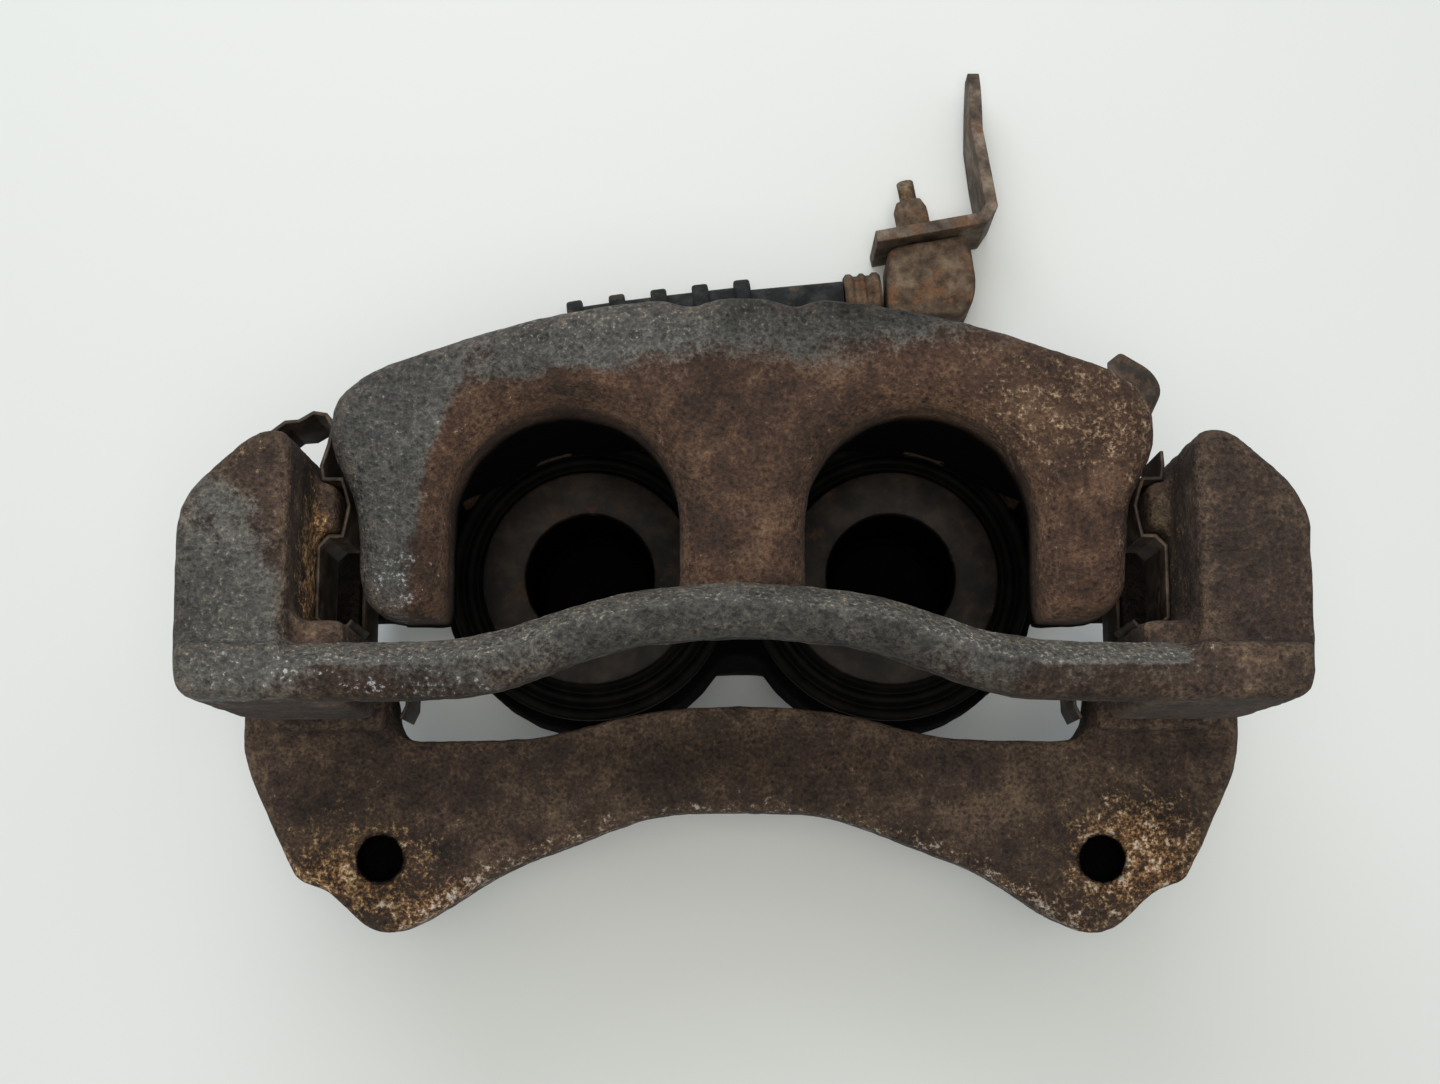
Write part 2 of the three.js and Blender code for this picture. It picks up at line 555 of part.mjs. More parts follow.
const middle = new THREE.Box3().setFromObject(caliper).getCenter(new THREE.Vector3());
const assembly = new THREE.Group();
assembly.add(caliper, cordPieces);
assembly.position.set(-middle.x, -middle.y, 0);

export default assembly;
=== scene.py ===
"""Used twin-piston floating brake caliper in its anchor bracket, with its brake hose.

Lengths are in metres in the row frame: +X right, +Y away from the wheel centre, +Z outboard.
Sizes written in millimetres carry the factor MM.
"""

import logging
import math
from dataclasses import dataclass, field
from enum import Enum
from functools import cached_property

import bmesh
import bpy
import numpy as np
from mathutils import Matrix, Vector, noise


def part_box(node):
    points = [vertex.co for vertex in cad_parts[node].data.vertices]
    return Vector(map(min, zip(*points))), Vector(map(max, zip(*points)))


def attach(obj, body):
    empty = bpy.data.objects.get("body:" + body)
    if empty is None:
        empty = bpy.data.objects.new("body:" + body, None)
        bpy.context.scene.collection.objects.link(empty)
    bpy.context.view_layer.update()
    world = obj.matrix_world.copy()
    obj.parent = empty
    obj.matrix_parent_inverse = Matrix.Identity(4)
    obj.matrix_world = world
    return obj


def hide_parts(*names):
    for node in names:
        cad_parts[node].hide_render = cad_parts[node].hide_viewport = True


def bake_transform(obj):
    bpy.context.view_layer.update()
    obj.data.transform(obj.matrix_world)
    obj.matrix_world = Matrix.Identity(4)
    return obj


MM = 0.001
LOG = logging.getLogger("caliper")
OUTBOARD = Vector((0, 0, 1))
Points = list[tuple[float, float]]
Tones = tuple[str, str, str]
Span = tuple[float, float]
Spot = tuple[float, float, float]
Material, Mesh, Thing = bpy.types.Material, bpy.types.Mesh, bpy.types.Object
Shape, Socket, Tree = bmesh.types.BMesh, bpy.types.NodeSocket, bpy.types.NodeTree


class Body(Enum):
    """The bodies of the frame that pieces ride on."""

    CALIPER = "caliper"
    ANCHOR = "anchor"
    PISTON_LEFT = "piston_left"
    PISTON_RIGHT = "piston_right"
    BLEEDER = "bleeder"
    BLEEDER_CAP = "bleeder_cap"


class Side(Enum):
    """The two sides of the caliper, seen from outboard."""

    LEFT = "left"
    RIGHT = "right"

    @property
    def sign(self) -> int:
        """-1 on the left and 1 on the right."""
        return -1 if self is Side.LEFT else 1


# ---- nodes and finishes
def linear(code: str) -> tuple[float, float, float, float]:
    """Turns an sRGB hex colour into linear light.

    Args:
        code: a colour such as "#6b4a36".

    Returns:
        Red, green, blue and an alpha of 1.
    """
    parts = [int(code[i:i + 2], 16) / 255 for i in (1, 3, 5)]
    return (*[c / 12.92 if c <= 0.04045 else ((c + 0.055) / 1.055) ** 2.4 for c in parts], 1.0)


def add(tree: Tree, kind: str, links: dict | None = None, **settings) -> bpy.types.Node:
    """Adds a node with its settings and links.

    Args:
        tree: the node tree that gets the node.
        kind: the node's Blender type.
        links: input name or number to a socket, a hex colour or a plain value.
        **settings: properties of the node; stops gives a colour ramp its (place, hex) pairs.

    Returns:
        The new node.
    """
    made = tree.nodes.new(kind)
    stops = settings.pop("stops", None)
    for name, value in settings.items():
        setattr(made, name, value)
    if stops:
        elements = made.color_ramp.elements
        for i, (place, code) in enumerate(stops):
            element = elements[i] if i < len(elements) else elements.new(place)
            element.position, element.color = place, linear(code)
    for key, value in (links or {}).items():
        socket = made.inputs[key]
        if isinstance(value, Socket):
            tree.links.new(value, socket)
        else:
            socket.default_value = linear(value) if isinstance(value, str) else value
    return made


def per_mm(size: float) -> float:
    """The scale of a noise whose features are that many millimetres across."""
    return 1 / (size * MM)


def pattern(tree: Tree, place: Socket, size: float, detail: float, roughness: float) -> Socket:
    """A noise whose features are that many millimetres across."""
    return add(tree, "ShaderNodeTexNoise", {"Vector": place, "Scale": per_mm(size), "Detail": detail,
                                            "Roughness": roughness}).outputs["Fac"]


def number(tree: Tree, operation: str, *terms: Socket | float) -> Socket:
    """Adds or multiplies numbers."""
    return add(tree, "ShaderNodeMath", dict(enumerate(terms)), operation=operation).outputs[0]


def remap(tree: Tree, value: Socket, span: Span = (0, 1), to: Span = (0, 1),
          kind: str = "LINEAR") -> Socket:
    """Turns one stretch of values into another one, and holds the ends beyond it."""
    ends = {"From Min": span[0], "From Max": span[1], "To Min": to[0], "To Max": to[1]}
    return add(tree, "ShaderNodeMapRange", {"Value": value, **ends}, interpolation_type=kind).outputs[0]


def mixed(tree: Tree, share: Socket | float, under: Socket, cover: Socket | str,
          mode: str = "MIX") -> Socket:
    """Lays a colour over another one."""
    return add(tree, "ShaderNodeMixRGB", {"Fac": share, "Color1": under, "Color2": cover},
               blend_type=mode).outputs[0]


def toned(tree: Tree, value: Socket, tones: Tones, spread: float) -> Socket:
    """Three tones over the middle of a noise's range."""
    places = (0.5 - spread, 0.5, 0.5 + spread)
    return add(tree, "ShaderNodeValToRGB", {"Fac": value}, stops=list(zip(places, tones))).outputs["Color"]


def relief(tree: Tree, height: Socket, strength: float, depth: float) -> Socket:
    """Bumps of a depth in millimetres."""
    return add(tree, "ShaderNodeBump", {"Height": height, "Strength": strength,
                                        "Distance": depth * MM}).outputs[0]


@dataclass(frozen=True)
class Finish:
    """A material, which is made once, and the record's slot that it belongs to."""

    name: str
    slot: str

    @cached_property
    def material(self) -> Material:
        """The node material."""
        made = bpy.data.materials.new(self.name)
        made.use_nodes = True
        tree = made.node_tree
        tree.nodes.clear()
        place = add(tree, "ShaderNodeTexCoord").outputs["Object"]
        surface = add(tree, "ShaderNodeBsdfPrincipled", self.surface(tree, place))
        add(tree, "ShaderNodeOutputMaterial", {"Surface": surface.outputs[0]})
        return made

    def surface(self, tree: Tree, place: Socket) -> dict:
        """What goes into the surface: input names to sockets, colours or numbers."""
        raise NotImplementedError


@dataclass(frozen=True)
class PlainColour(Finish):
    """One colour."""

    colour: str
    roughness: float = 0.6

    def surface(self, tree: Tree, place: Socket) -> dict:
        """The colour alone."""
        return {"Base Color": self.colour, "Roughness": self.roughness}


@dataclass(frozen=True)
class Mask:
    """How an amount and a pattern make a ragged mask, which rises from 0 at low to 1 at high."""

    swing: float  # how far the pattern shifts the amount
    low: float
    high: float


PAINTED, FLECKED, RUSTED = Mask(2.0, 0.36, 0.7), Mask(3.4, 1.24, 1.6), Mask(2.4, 0.44, 0.84)
# the soot mask also lays painted shade in recesses
SALTED, SOOT_AND_SHADE, WORN = Mask(3.0, 0.56, 0.68), Mask(0.5, 0.02, 0.75), Mask(1.2, 0.6, 0.85)


@dataclass(frozen=True)
class WeatheredIron(Finish):
    """Sand-cast iron with remains of paint. It shows a grey, speckled skin that gives way to brown oxide.

    The mesh attribute "weather" holds how much paint (red), loose rust (green), white corrosion
    (blue) and brake soot with painted shade in recesses (alpha) each place has, and "edge" is
    above a half on worn edges.
    """

    paint: Tones = ("#2d2d2c", "#434340", "#5b5a55")
    oxide: Tones = ("#1f1611", "#3e2c21", "#614a38")
    rust: Tones = ("#573829", "#735845", "#8d7a62")
    salt: str = "#9fa6af"
    fleck: str = "#a29b8a"
    # the black of brake soot, also used as painted shade in recesses
    soot_and_shade: str = "#060505"
    fleck_strength: float = 0.5
    worn_strength: float = 0.3
    salt_strength: float = 0.6
    relief_depth: float = 0.7  # millimetres

    def surface(self, tree: Tree, place: Socket) -> dict:
        """Builds the nodes of the colour, roughness, gloss and bumps."""
        weather = add(tree, "ShaderNodeAttribute", attribute_name="weather").outputs
        edge = add(tree, "ShaderNodeAttribute", attribute_name="edge").outputs["Fac"]
        amount = add(tree, "ShaderNodeSeparateColor", {"Color": weather["Color"]}).outputs

        def average(first: Socket, second: Socket) -> Socket:
            """The mean of two patterns."""
            return number(tree, "MULTIPLY", number(tree, "ADD", first, second), 0.5)

        def ragged(share: Socket, texture: Socket, mask: Mask) -> Socket:
            """A mask where an amount plus a centred pattern passes from low to high."""
            centred = number(tree, "ADD", texture, -0.5)
            level = number(tree, "MULTIPLY_ADD", centred, mask.swing, share)
            return remap(tree, level, (mask.low, mask.high), kind="SMOOTHSTEP")

        def over(under: Socket, cover: Socket, strength: float, colour: Socket | str) -> Socket:
            """Lays a colour over another one, by a mask times a strength."""
            return mixed(tree, number(tree, "MULTIPLY", cover, strength), under, colour)

        # casting grit is about 0.3 mm; it is drawn at 0.9 mm so that it shows
        clouds, blotch = pattern(tree, place, 11, 5.0, 0.6), pattern(tree, place, 3.0, 5.0, 0.65)
        grit, stain = pattern(tree, place, 0.9, 3.0, 0.7), pattern(tree, place, 24, 4.0, 0.6)
        pits = add(tree, "ShaderNodeTexVoronoi", {"Vector": place, "Scale": per_mm(1.7)}).outputs["Distance"]
        fine = average(blotch, grit)
        broad = average(clouds, fine)

        painted, flecked = ragged(amount["Red"], broad, PAINTED), ragged(amount["Red"], grit, FLECKED)
        rusted, salted = ragged(amount["Green"], fine, RUSTED), ragged(amount["Blue"], fine, SALTED)
        soot_and_shade_mask, worn = ragged(weather["Alpha"], clouds, SOOT_AND_SHADE), ragged(edge, fine, WORN)
        deep = remap(tree, stain, (0.38, 0.6), (0.68, 1.12))
        dark = remap(tree, pits, (0.08, 0.34), (0.5, 1.0))
        sand = remap(tree, grit, (0.34, 0.66), (0.72, 1.25))

        spread = 0.14
        colour = toned(tree, broad, self.oxide, spread)
        colour = over(colour, painted, 1.0, toned(tree, fine, self.paint, spread))
        colour = over(colour, flecked, self.fleck_strength, self.fleck)
        colour = over(colour, worn, self.worn_strength, self.oxide[2])
        colour = over(colour, rusted, 1.0, toned(tree, fine, self.rust, spread))
        colour = over(colour, salted, self.salt_strength, self.salt)
        tone = number(tree, "MULTIPLY", number(tree, "MULTIPLY", dark, deep), sand)
        colour = mixed(tree, 1.0, colour, tone, "MULTIPLY")
        # brake soot and painted shade: black over sooty places and over recesses where shade falls, which
        # also lose their gloss
        colour = over(colour, soot_and_shade_mask, 1.0, self.soot_and_shade)

        height = number(tree, "MULTIPLY_ADD", blotch, 1.6, grit)
        for cover in (rusted, dark):
            height = number(tree, "MULTIPLY_ADD", cover, 0.5, height)
        return {"Base Color": colour, "Roughness": remap(tree, painted, to=(0.85, 0.6)),
                "Specular IOR Level": remap(tree, soot_and_shade_mask, to=(0.3, 0.02)),
                "Normal": relief(tree, height, 1.0, self.relief_depth)}


@dataclass(frozen=True)
class PlainFinish(Finish):
    """A finish of three tones with a second colour in patches, and grain.

    Sizes are in millimetres. The mesh attribute "soot", where there is one, blackens places
    with painted shade and takes away their gloss.
    """

    tones: Tones
    tone_size: float
    patch: str
    patch_share: float  # 0 is none, 1 is all
    patch_size: float = 4.0
    roughness: float = 0.6
    metallic: float = 0.0
    grain_size: float = 0.8
    grain_depth: float = 0.12
    gloss: float = 0.3

    def surface(self, tree: Tree, place: Socket) -> dict:
        """Builds the nodes of the colour, roughness, gloss and bumps."""
        tone = pattern(tree, place, self.tone_size, 5.0, 0.6)
        spread = pattern(tree, place, self.patch_size, 6.0, 0.7)
        grain = pattern(tree, place, self.grain_size, 3.0, 0.6)
        soot_and_shade = add(tree, "ShaderNodeAttribute", attribute_name="soot_and_shade").outputs["Fac"]
        level = 0.72 - 0.44 * self.patch_share  # the noise runs from about 0.28 to 0.72
        cover = remap(tree, spread, (level - 0.05, level + 0.05))
        colour = mixed(tree, cover, toned(tree, tone, self.tones, 0.15), self.patch)
        colour = mixed(tree, 1.0, colour, remap(tree, grain, (0.3, 0.7), (0.78, 1.15)), "MULTIPLY")
        # painted shade where the soot attribute is set
        return {"Base Color": mixed(tree, soot_and_shade, colour, "#020202"), "Metallic": self.metallic,
                "Roughness": remap(tree, cover, to=(self.roughness, min(self.roughness + 0.22, 0.95))),
                "Specular IOR Level": remap(tree, soot_and_shade, to=(self.gloss, 0.0)),
                "Normal": relief(tree, grain, 0.8, self.grain_depth)}


# grey cast iron, painted and then left outdoors: the housing keeps more of its paint
HOUSING_IRON = WeatheredIron("weathered grey cast iron, housing", "housing_iron")
BRACKET_IRON = WeatheredIron(
    "weathered ductile cast iron, bracket", "bracket_iron", ("#393835", "#4b4a46", "#5f5d56"),
    ("#1d1511", "#3c2f27", "#60503f"), ("#6b4226", "#946c44", "#b39b72"))
# moulded phenolic resin: nearly black brown, satin, with brake dust
PHENOLIC = PlainFinish(
    "moulded phenolic resin", "piston_phenolic", ("#100d0b", "#1a1613", "#29221c"),
    tone_size=7, patch="#3a2b21", patch_share=0.25,
    patch_size=9, grain_size=1.2, grain_depth=0.05, gloss=0.15)
# moulded EPDM rubber: black and matt with soot
EPDM = PlainFinish(
    "moulded EPDM rubber", "boot_rubber", ("#050505", "#090908", "#0f0e0d"),
    tone_size=6, patch="#191613", patch_share=0.15,
    patch_size=5, roughness=0.7, grain_size=0.9, grain_depth=0.06, gloss=0.06)
# stainless strip that has taken heat and dust: dark and satin
SPRING_STEEL = PlainFinish(
    "stained spring steel strip", "spring_steel", ("#1c1714", "#302922", "#4a4036"),
    tone_size=5, patch="#54402f",
    patch_share=0.3, patch_size=3, roughness=0.55, metallic=0.35, grain_size=0.6, grain_depth=0.04)
# ground and plated pin steel: clean, bright and greased
PIN_STEEL = PlainFinish(
    "ground pin steel", "pin_steel", ("#77756f", "#8d8b86", "#a3a19b"),
    tone_size=8, patch="#6b5a48", patch_share=0.12,
    patch_size=6, roughness=0.3, metallic=1, grain_size=1, grain_depth=0.02)
# zinc-plated steel gone dull, with rust breaking through
PLATED_STEEL = PlainFinish(
    "dull zinc-plated steel", "plated_steel", ("#4a4437", "#655a46", "#7d735e"),
    tone_size=4, patch="#553723",
    patch_share=0.45, patch_size=3, roughness=0.55, metallic=0.5, grain_size=0.7, grain_depth=0.08)
# annealed copper, dulled to brown
COPPER = PlainFinish(
    "dull annealed copper", "copper", ("#6f4229", "#8d5739", "#a76d4b"),
    tone_size=4, patch="#4a3a30", patch_share=0.25,
    patch_size=3, roughness=0.4, metallic=0.9, grain_size=1, grain_depth=0.02)
# extruded brake-hose rubber: black, matt, with brown road dust
HOSE_RUBBER = PlainFinish(
    "extruded brake hose rubber", "hose_rubber", ("#121314", "#1e2021", "#303232"),
    tone_size=5, patch="#4a3f34",
    patch_share=0.26, patch_size=6, roughness=0.75, grain_depth=0.08, gloss=0.15)
# bare steel with thick brown rust
RUSTED_STEEL = PlainFinish(
    "rusted mild steel", "rusted_steel", ("#372c23", "#514438", "#6c5d4c"),
    tone_size=5, patch="#664a35", patch_share=0.3,
    patch_size=6, roughness=0.85, grain_size=0.7, grain_depth=0.22, gloss=0.15)
# bracket steel, where the rust is worn to grey brown
BRACKET_STEEL = PlainFinish(
    "worn rusty steel strip", "rusted_steel", ("#3a3129", "#594e43", "#7a6d5f"),
    tone_size=6, patch="#614a38", patch_share=0.3,
    patch_size=7, roughness=0.75, metallic=0.1, grain_depth=0.16, gloss=0.2)


# ---- mesh tools
def placed(name: str, mesh: Mesh, finish: Finish) -> Thing:
    """Puts a mesh in the scene under a name, with one finish."""
    mesh.materials.clear()
    mesh.materials.append(finish.material)
    made = bpy.data.objects.new(name, mesh)
    bpy.context.scene.collection.objects.link(made)
    return made


def dressed(node: str, ending: str, mesh: Mesh, finish: Finish, body: Body | None = Body.CALIPER) -> Thing:
    """Puts a piece in the scene that stands for a CAD node.

    Args:
        node: the CAD node that it replaces, which its name begins with.
        ending: how its name ends.
        mesh: its mesh, in the row frame.
        finish: its finish, which knows the record's material slot.
        body: the body that it rides on, or None for a piece that spans two bodies, which leaves it on no
            body.

    Returns:
        The new piece.
    """
    made = placed(f"{node}_{ending}", mesh, finish)
    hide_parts(node)
    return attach(made, body.value) if body else made


def shade(mesh: Mesh, angle: float = 35) -> None:
    """Shades a mesh smooth, but keeps edges sharper than an angle in degrees crisp."""
    mesh.shade_smooth()
    mesh.set_sharp_from_angle(angle=math.radians(angle))


def finished(shape: Shape, name: str, angle: float = 35) -> Mesh:
    """Turns a bmesh into a mesh with merged corners, outward faces and smooth shading."""
    bmesh.ops.remove_doubles(shape, verts=shape.verts, dist=1e-6)
    bmesh.ops.recalc_face_normals(shape, faces=shape.faces)
    mesh = bpy.data.meshes.new(name)
    shape.to_mesh(mesh)
    shape.free()
    shade(mesh, angle)
    return mesh


def rounded(corners: list[Spot], steps: int = 4) -> Points:
    """Rounds the corners of a closed outline.

    Args:
        corners: (x, y, radius of rounding) of each corner.
        steps: how many edges each rounding gets.

    Returns:
        The outline's points, with the first one again at the end.
    """
    points: Points = []
    for i, (x, y, wanted) in enumerate(corners):
        here = Vector((x, y))
        ways = [Vector(corners[j][:2]) - here for j in (i - 1, (i + 1) % len(corners))]
        reach = min(wanted, *[way.length * 0.49 for way in ways])
        if reach <= 0:
            points.append((x, y))
            continue
        first, last = [here + way.normalized() * reach for way in ways]
        for k in range(steps + 1):
            t = k / steps
            point = first * (1 - t) ** 2 + here * (2 * t * (1 - t)) + last * t * t
            points.append((point.x, point.y))
    return [*points, points[0]]


def turned(profile: Points, segments: int = 96, flats: int = 0, across: float = 0.0,
           facet: Span = (0.0, 0.0)) -> Shape:
    """Turns a profile about Z, with flats milled on one stretch of it.

    Args:
        profile: (radius, height) points in millimetres; it closes on itself or ends on the axis.
        segments: how many steps go round.
        flats: how many flats there are, or 0.
        across: the distance across the flats.
        facet: the lowest and highest point of the flats.

    Returns:
        The closed shape, in metres.
    """
    shape = bmesh.new()
    rings = []
    for radius, height in profile:
        ring = []
        for k in range(segments):
            angle = 2 * math.pi * k / segments
            r = radius
            if flats and facet[0] <= height <= facet[1]:
                turn = (angle + math.pi / flats) % (2 * math.pi / flats) - math.pi / flats
                r = min(radius, across / 2 / math.cos(turn))
            ring.append(shape.verts.new((r * math.cos(angle) * MM, r * math.sin(angle) * MM, height * MM)))
        rings.append(ring)
    bridge(shape, rings)
    bmesh.ops.remove_doubles(shape, verts=shape.verts, dist=1e-7)
    return shape


def bridge(shape: Shape, rings: list[list[bmesh.types.BMVert]]) -> None:
    """Joins rings of corners with faces, one after another."""
    for low, high in zip(rings, rings[1:]):
        for k in range(len(low)):
            after = (k + 1) % len(low)
            shape.faces.new([low[k], low[after], high[after], high[k]])


def aimed(shape: Shape, foot: Vector, way: Vector) -> Shape:
    """Moves a shape that stands on +Z so that it points along a way from its foot."""
    turn = OUTBOARD.rotation_difference(way.normalized()).to_matrix().to_4x4()
    shape.transform(Matrix.Translation(foot) @ turn)
    return shape


@dataclass
class Lathe:
    """An axis that pieces are turned about."""

    foot: Vector
    way: Vector = field(default_factory=OUTBOARD.copy)

    def mesh(self, name: str, profile: Points, angle: float = 35, **cut) -> Mesh:
        """The mesh of a turned piece; cut holds what turned takes after the profile."""
        return finished(aimed(turned(profile, **cut), self.foot, self.way), name, angle)

    def piece(self, node: str, ending: str, profile: Points, finish: Finish, body: Body | None = Body.CALIPER,
              **cut) -> Thing:
        """A turned piece that stands for a CAD node."""
        return dressed(node, ending, self.mesh(f"{node}_{ending}", profile, **cut), finish, body)


def swept(path: list[Vector], radius: float, sides: int = 32) -> Shape:
    """Sweeps a round section along a path, with closed ends.

    Args:
        path: the centreline, in metres.
        radius: the section's radius, in metres.
        sides: how many steps go round.

    Returns:
        The closed tube.
    """
    shape = bmesh.new()
    across = (path[1] - path[0]).orthogonal().normalized()
    rings = []
    for i, here in enumerate(path):
        way = (path[min(i + 1, len(path) - 1)] - path[max(i - 1, 0)]).normalized()
        across = (across - way * across.dot(way)).normalized()
        other = way.cross(across)
        rings.append([shape.verts.new(here + (across * math.cos(a) + other * math.sin(a)) * radius)
                      for a in (2 * math.pi * k / sides for k in range(sides))])
    bridge(shape, rings)
    shape.faces.new(list(reversed(rings[0])))
    shape.faces.new(rings[-1])
    return shape


def smooth_route(points: list[Vector], steps: int = 8) -> list[Vector]:
    """A smooth line through points, with some steps between each two."""
    ends = [points[0] * 2 - points[1], *points, points[-1] * 2 - points[-2]]
    line = []
    for a, b, c, d in zip(ends, ends[1:], ends[2:], ends[3:]):
        for k in range(steps):
            t = k / steps
            line.append(0.5 * (2 * b + (c - a) * t + (2 * a - 5 * b + 4 * c - d) * t * t
                               + (3 * b - a - 3 * c + d) * t ** 3))
    return [*line, points[-1]]


def evaluated(source: Thing, name: str) -> Mesh:
    """The mesh of an object with its modifiers applied."""
    graph = bpy.context.evaluated_depsgraph_get()
    mesh = bpy.data.meshes.new_from_object(source.evaluated_get(graph), depsgraph=graph)
    mesh.name = name
    return mesh


def joined(node: str) -> Shape:
    """The shape of a CAD node with its corners merged."""
    shape = bmesh.new()
    shape.from_mesh(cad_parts[node].data)
    bmesh.ops.remove_doubles(shape, verts=shape.verts, dist=1e-6)
    return shape


def held(shape: Shape, name: str) -> Thing:
    """Puts a shape in the scene for its modifiers, until drop takes it out."""
    mesh = bpy.data.meshes.new(name)
    shape.to_mesh(mesh)
    shape.free()
    holder = bpy.data.objects.new(name, mesh)
    bpy.context.scene.collection.objects.link(holder)
    return holder


def drop(holder: Thing) -> None:
    """Takes a holder and its mesh out again."""
    mesh = holder.data
    bpy.data.objects.remove(holder)
    bpy.data.meshes.remove(mesh)


def softened(node: str, name: str, width: float, segments: int = 3) -> Mesh:
    """A copy of a CAD node with its hard edges rounded.

    Args:
        node: the CAD node.
        name: the new mesh's name.
        width: the rounding in millimetres.
        segments: how many edges the rounding gets.

    Returns:
        The rounded mesh.
    """
    shape = joined(node)
    bmesh.ops.dissolve_limit(shape, angle_limit=math.radians(1.5), verts=shape.verts, edges=shape.edges)
    holder = held(shape, name)
    bevel = holder.modifiers.new("rounding", "BEVEL")
    bevel.width, bevel.segments, bevel.limit_method = width * MM, segments, "ANGLE"
    bevel.angle_limit, bevel.use_clamp_overlap = math.radians(28), True
    result = evaluated(holder, name)
    drop(holder)
    shade(result, 40)
    return result


def rise(values: np.ndarray, start: float, full: float) -> np.ndarray:
    """0 on one side of start, 1 on the other side of full, and even in between."""
    return np.clip((values - start) / (full - start), 0, 1)


def vectors(items: bpy.types.bpy_prop_collection, name: str) -> np.ndarray:
    """A vector property of every item, in rows."""
    values = np.empty(len(items) * 3, np.float32)
    items.foreach_get(name, values)
    return values.reshape(-1, 3)


# ---- castings
@dataclass(frozen=True)
class Patch:
    """A soft-edged ellipsoid where the weathering and painted shade differ from what is round it."""

    centre: Spot  # millimetres, y from the piston axes
    reach: Spot
    paint: float = 0.0
    rust: float = 0.0
    salt: float = 0.0
    # brake soot, which in some patches is painted shade
    soot_and_shade: float = 0.0


@dataclass(frozen=True)
class Bore:
    """A machined hole along Z that stays true when the casting's skin is roughened."""

    centre: Span  # millimetres, y from the piston axes
    radius: float
    span: Span
    reach: float = 1.1  # how far off the wall a point may be
    facing: float = -0.55  # how far a point faces out of the hole, at most

    def true(self, place: np.ndarray, out: np.ndarray) -> None:
        """Sets the points of the wall back on the wall."""
        across = place[:, :2] - np.array(self.centre)
        r = np.maximum(np.hypot(across[:, 0], across[:, 1]), 1e-6)
        inward = (across * out[:, :2]).sum(1) / r
        wall = ((np.abs(r - self.radius) < self.reach) & (inward < self.facing)
                & (place[:, 2] > self.span[0]) & (place[:, 2] < self.span[1]))
        place[wall, :2] = np.array(self.centre) + across[wall] / r[wall, None] * self.radius


@dataclass
class Casting:
    """A sand-cast part: the CAD solid with round edges, a rough skin and its weathering."""

    node: str
    finish: WeatheredIron
    body: Body
    bore_y: float  # height of the piston axes in the row frame, in metres
    base: Spot  # paint, rust and salt where there is no patch
    patches: list[Patch]
    bores: list[Bore]
    voxel: float = 1.2
    smoothing: int = 7
    flattening: int = 16  # rounds of smoothing that take the edges off, to find how proud each is
    edge: float = 1.2  # millimetres that an edge stands proud from not at all to fully
    lumps: float = 0.22

    def skin(self) -> tuple[Mesh, np.ndarray]:
        """Wraps the CAD solid in an even skin with round edges.

        Returns:
            The mesh, and how far each point stands out from its surroundings, in metres.
        """
        holder = held(joined(self.node), self.node)
        remesh = holder.modifiers.new("skin", "REMESH")
        remesh.mode, remesh.voxel_size = "VOXEL", self.voxel * MM
        smooth = holder.modifiers.new("smooth", "SMOOTH")
        smooth.factor, smooth.iterations = 0.5, self.smoothing
        result = evaluated(holder, self.node + "_casting")
        smooth.iterations += self.flattening
        flatter = evaluated(holder, "flatter")
        gap = vectors(result.vertices, "co") - vectors(flatter.vertices, "co")
        proud = (gap * vectors(result.vertex_normals, "vector")).sum(1)
        drop(holder)
        bpy.data.meshes.remove(flatter)
        return result, proud

    def shape(self, place: np.ndarray) -> np.ndarray:
        """Moves points for details that the solid leaves out. Places are in mm from the piston axes."""
        return place

    def amounts(self, place: np.ndarray) -> np.ndarray:
        """The paint, rust, salt, and soot with painted shade, at each place."""
        total = np.tile(np.array((*self.base, 0.0), float), (len(place), 1))
        for patch in self.patches:
            offset = (place - np.array(patch.centre)) / np.array(patch.reach)
            near = np.exp(-(offset ** 2).sum(1) ** 1.5)
            total += near[:, None] * np.array([patch.paint, patch.rust, patch.salt, patch.soot_and_shade])
        return np.clip(total, 0, 1)

    def build(self) -> Thing:
        """Makes the dressed casting, riding on its body in place of the CAD node."""
        mesh, proud = self.skin()
        origin = np.array([0, self.bore_y / MM, 0])
        out = vectors(mesh.vertex_normals, "vector").astype(float)
        place = self.shape(vectors(mesh.vertices, "co").astype(float) / MM - origin)
        lump = np.array([noise.noise(Vector(p) / 5.5) + 0.6 * noise.noise(Vector(p) / 2.2) for p in place])
        place += out * (lump * self.lumps)[:, None]
        place[:, 2] = np.maximum(place[:, 2], 0.0)
        for bore in self.bores:
            bore.true(place, out)
        mesh.vertices.foreach_set("co", ((place + origin) * MM).astype(np.float32).ravel())
        colour = mesh.color_attributes.new("weather", "FLOAT_COLOR", "POINT")
        colour.data.foreach_set("color", self.amounts(place).astype(np.float32).ravel())
        edge = mesh.attributes.new("edge", "FLOAT", "POINT")
        edge.data.foreach_set("value", np.clip(0.5 + proud / (self.edge * MM), 0, 1).astype(np.float32))
        mesh.update()
        mesh.shade_smooth()
        return dressed(self.node, "casting", mesh, self.finish, self.body)


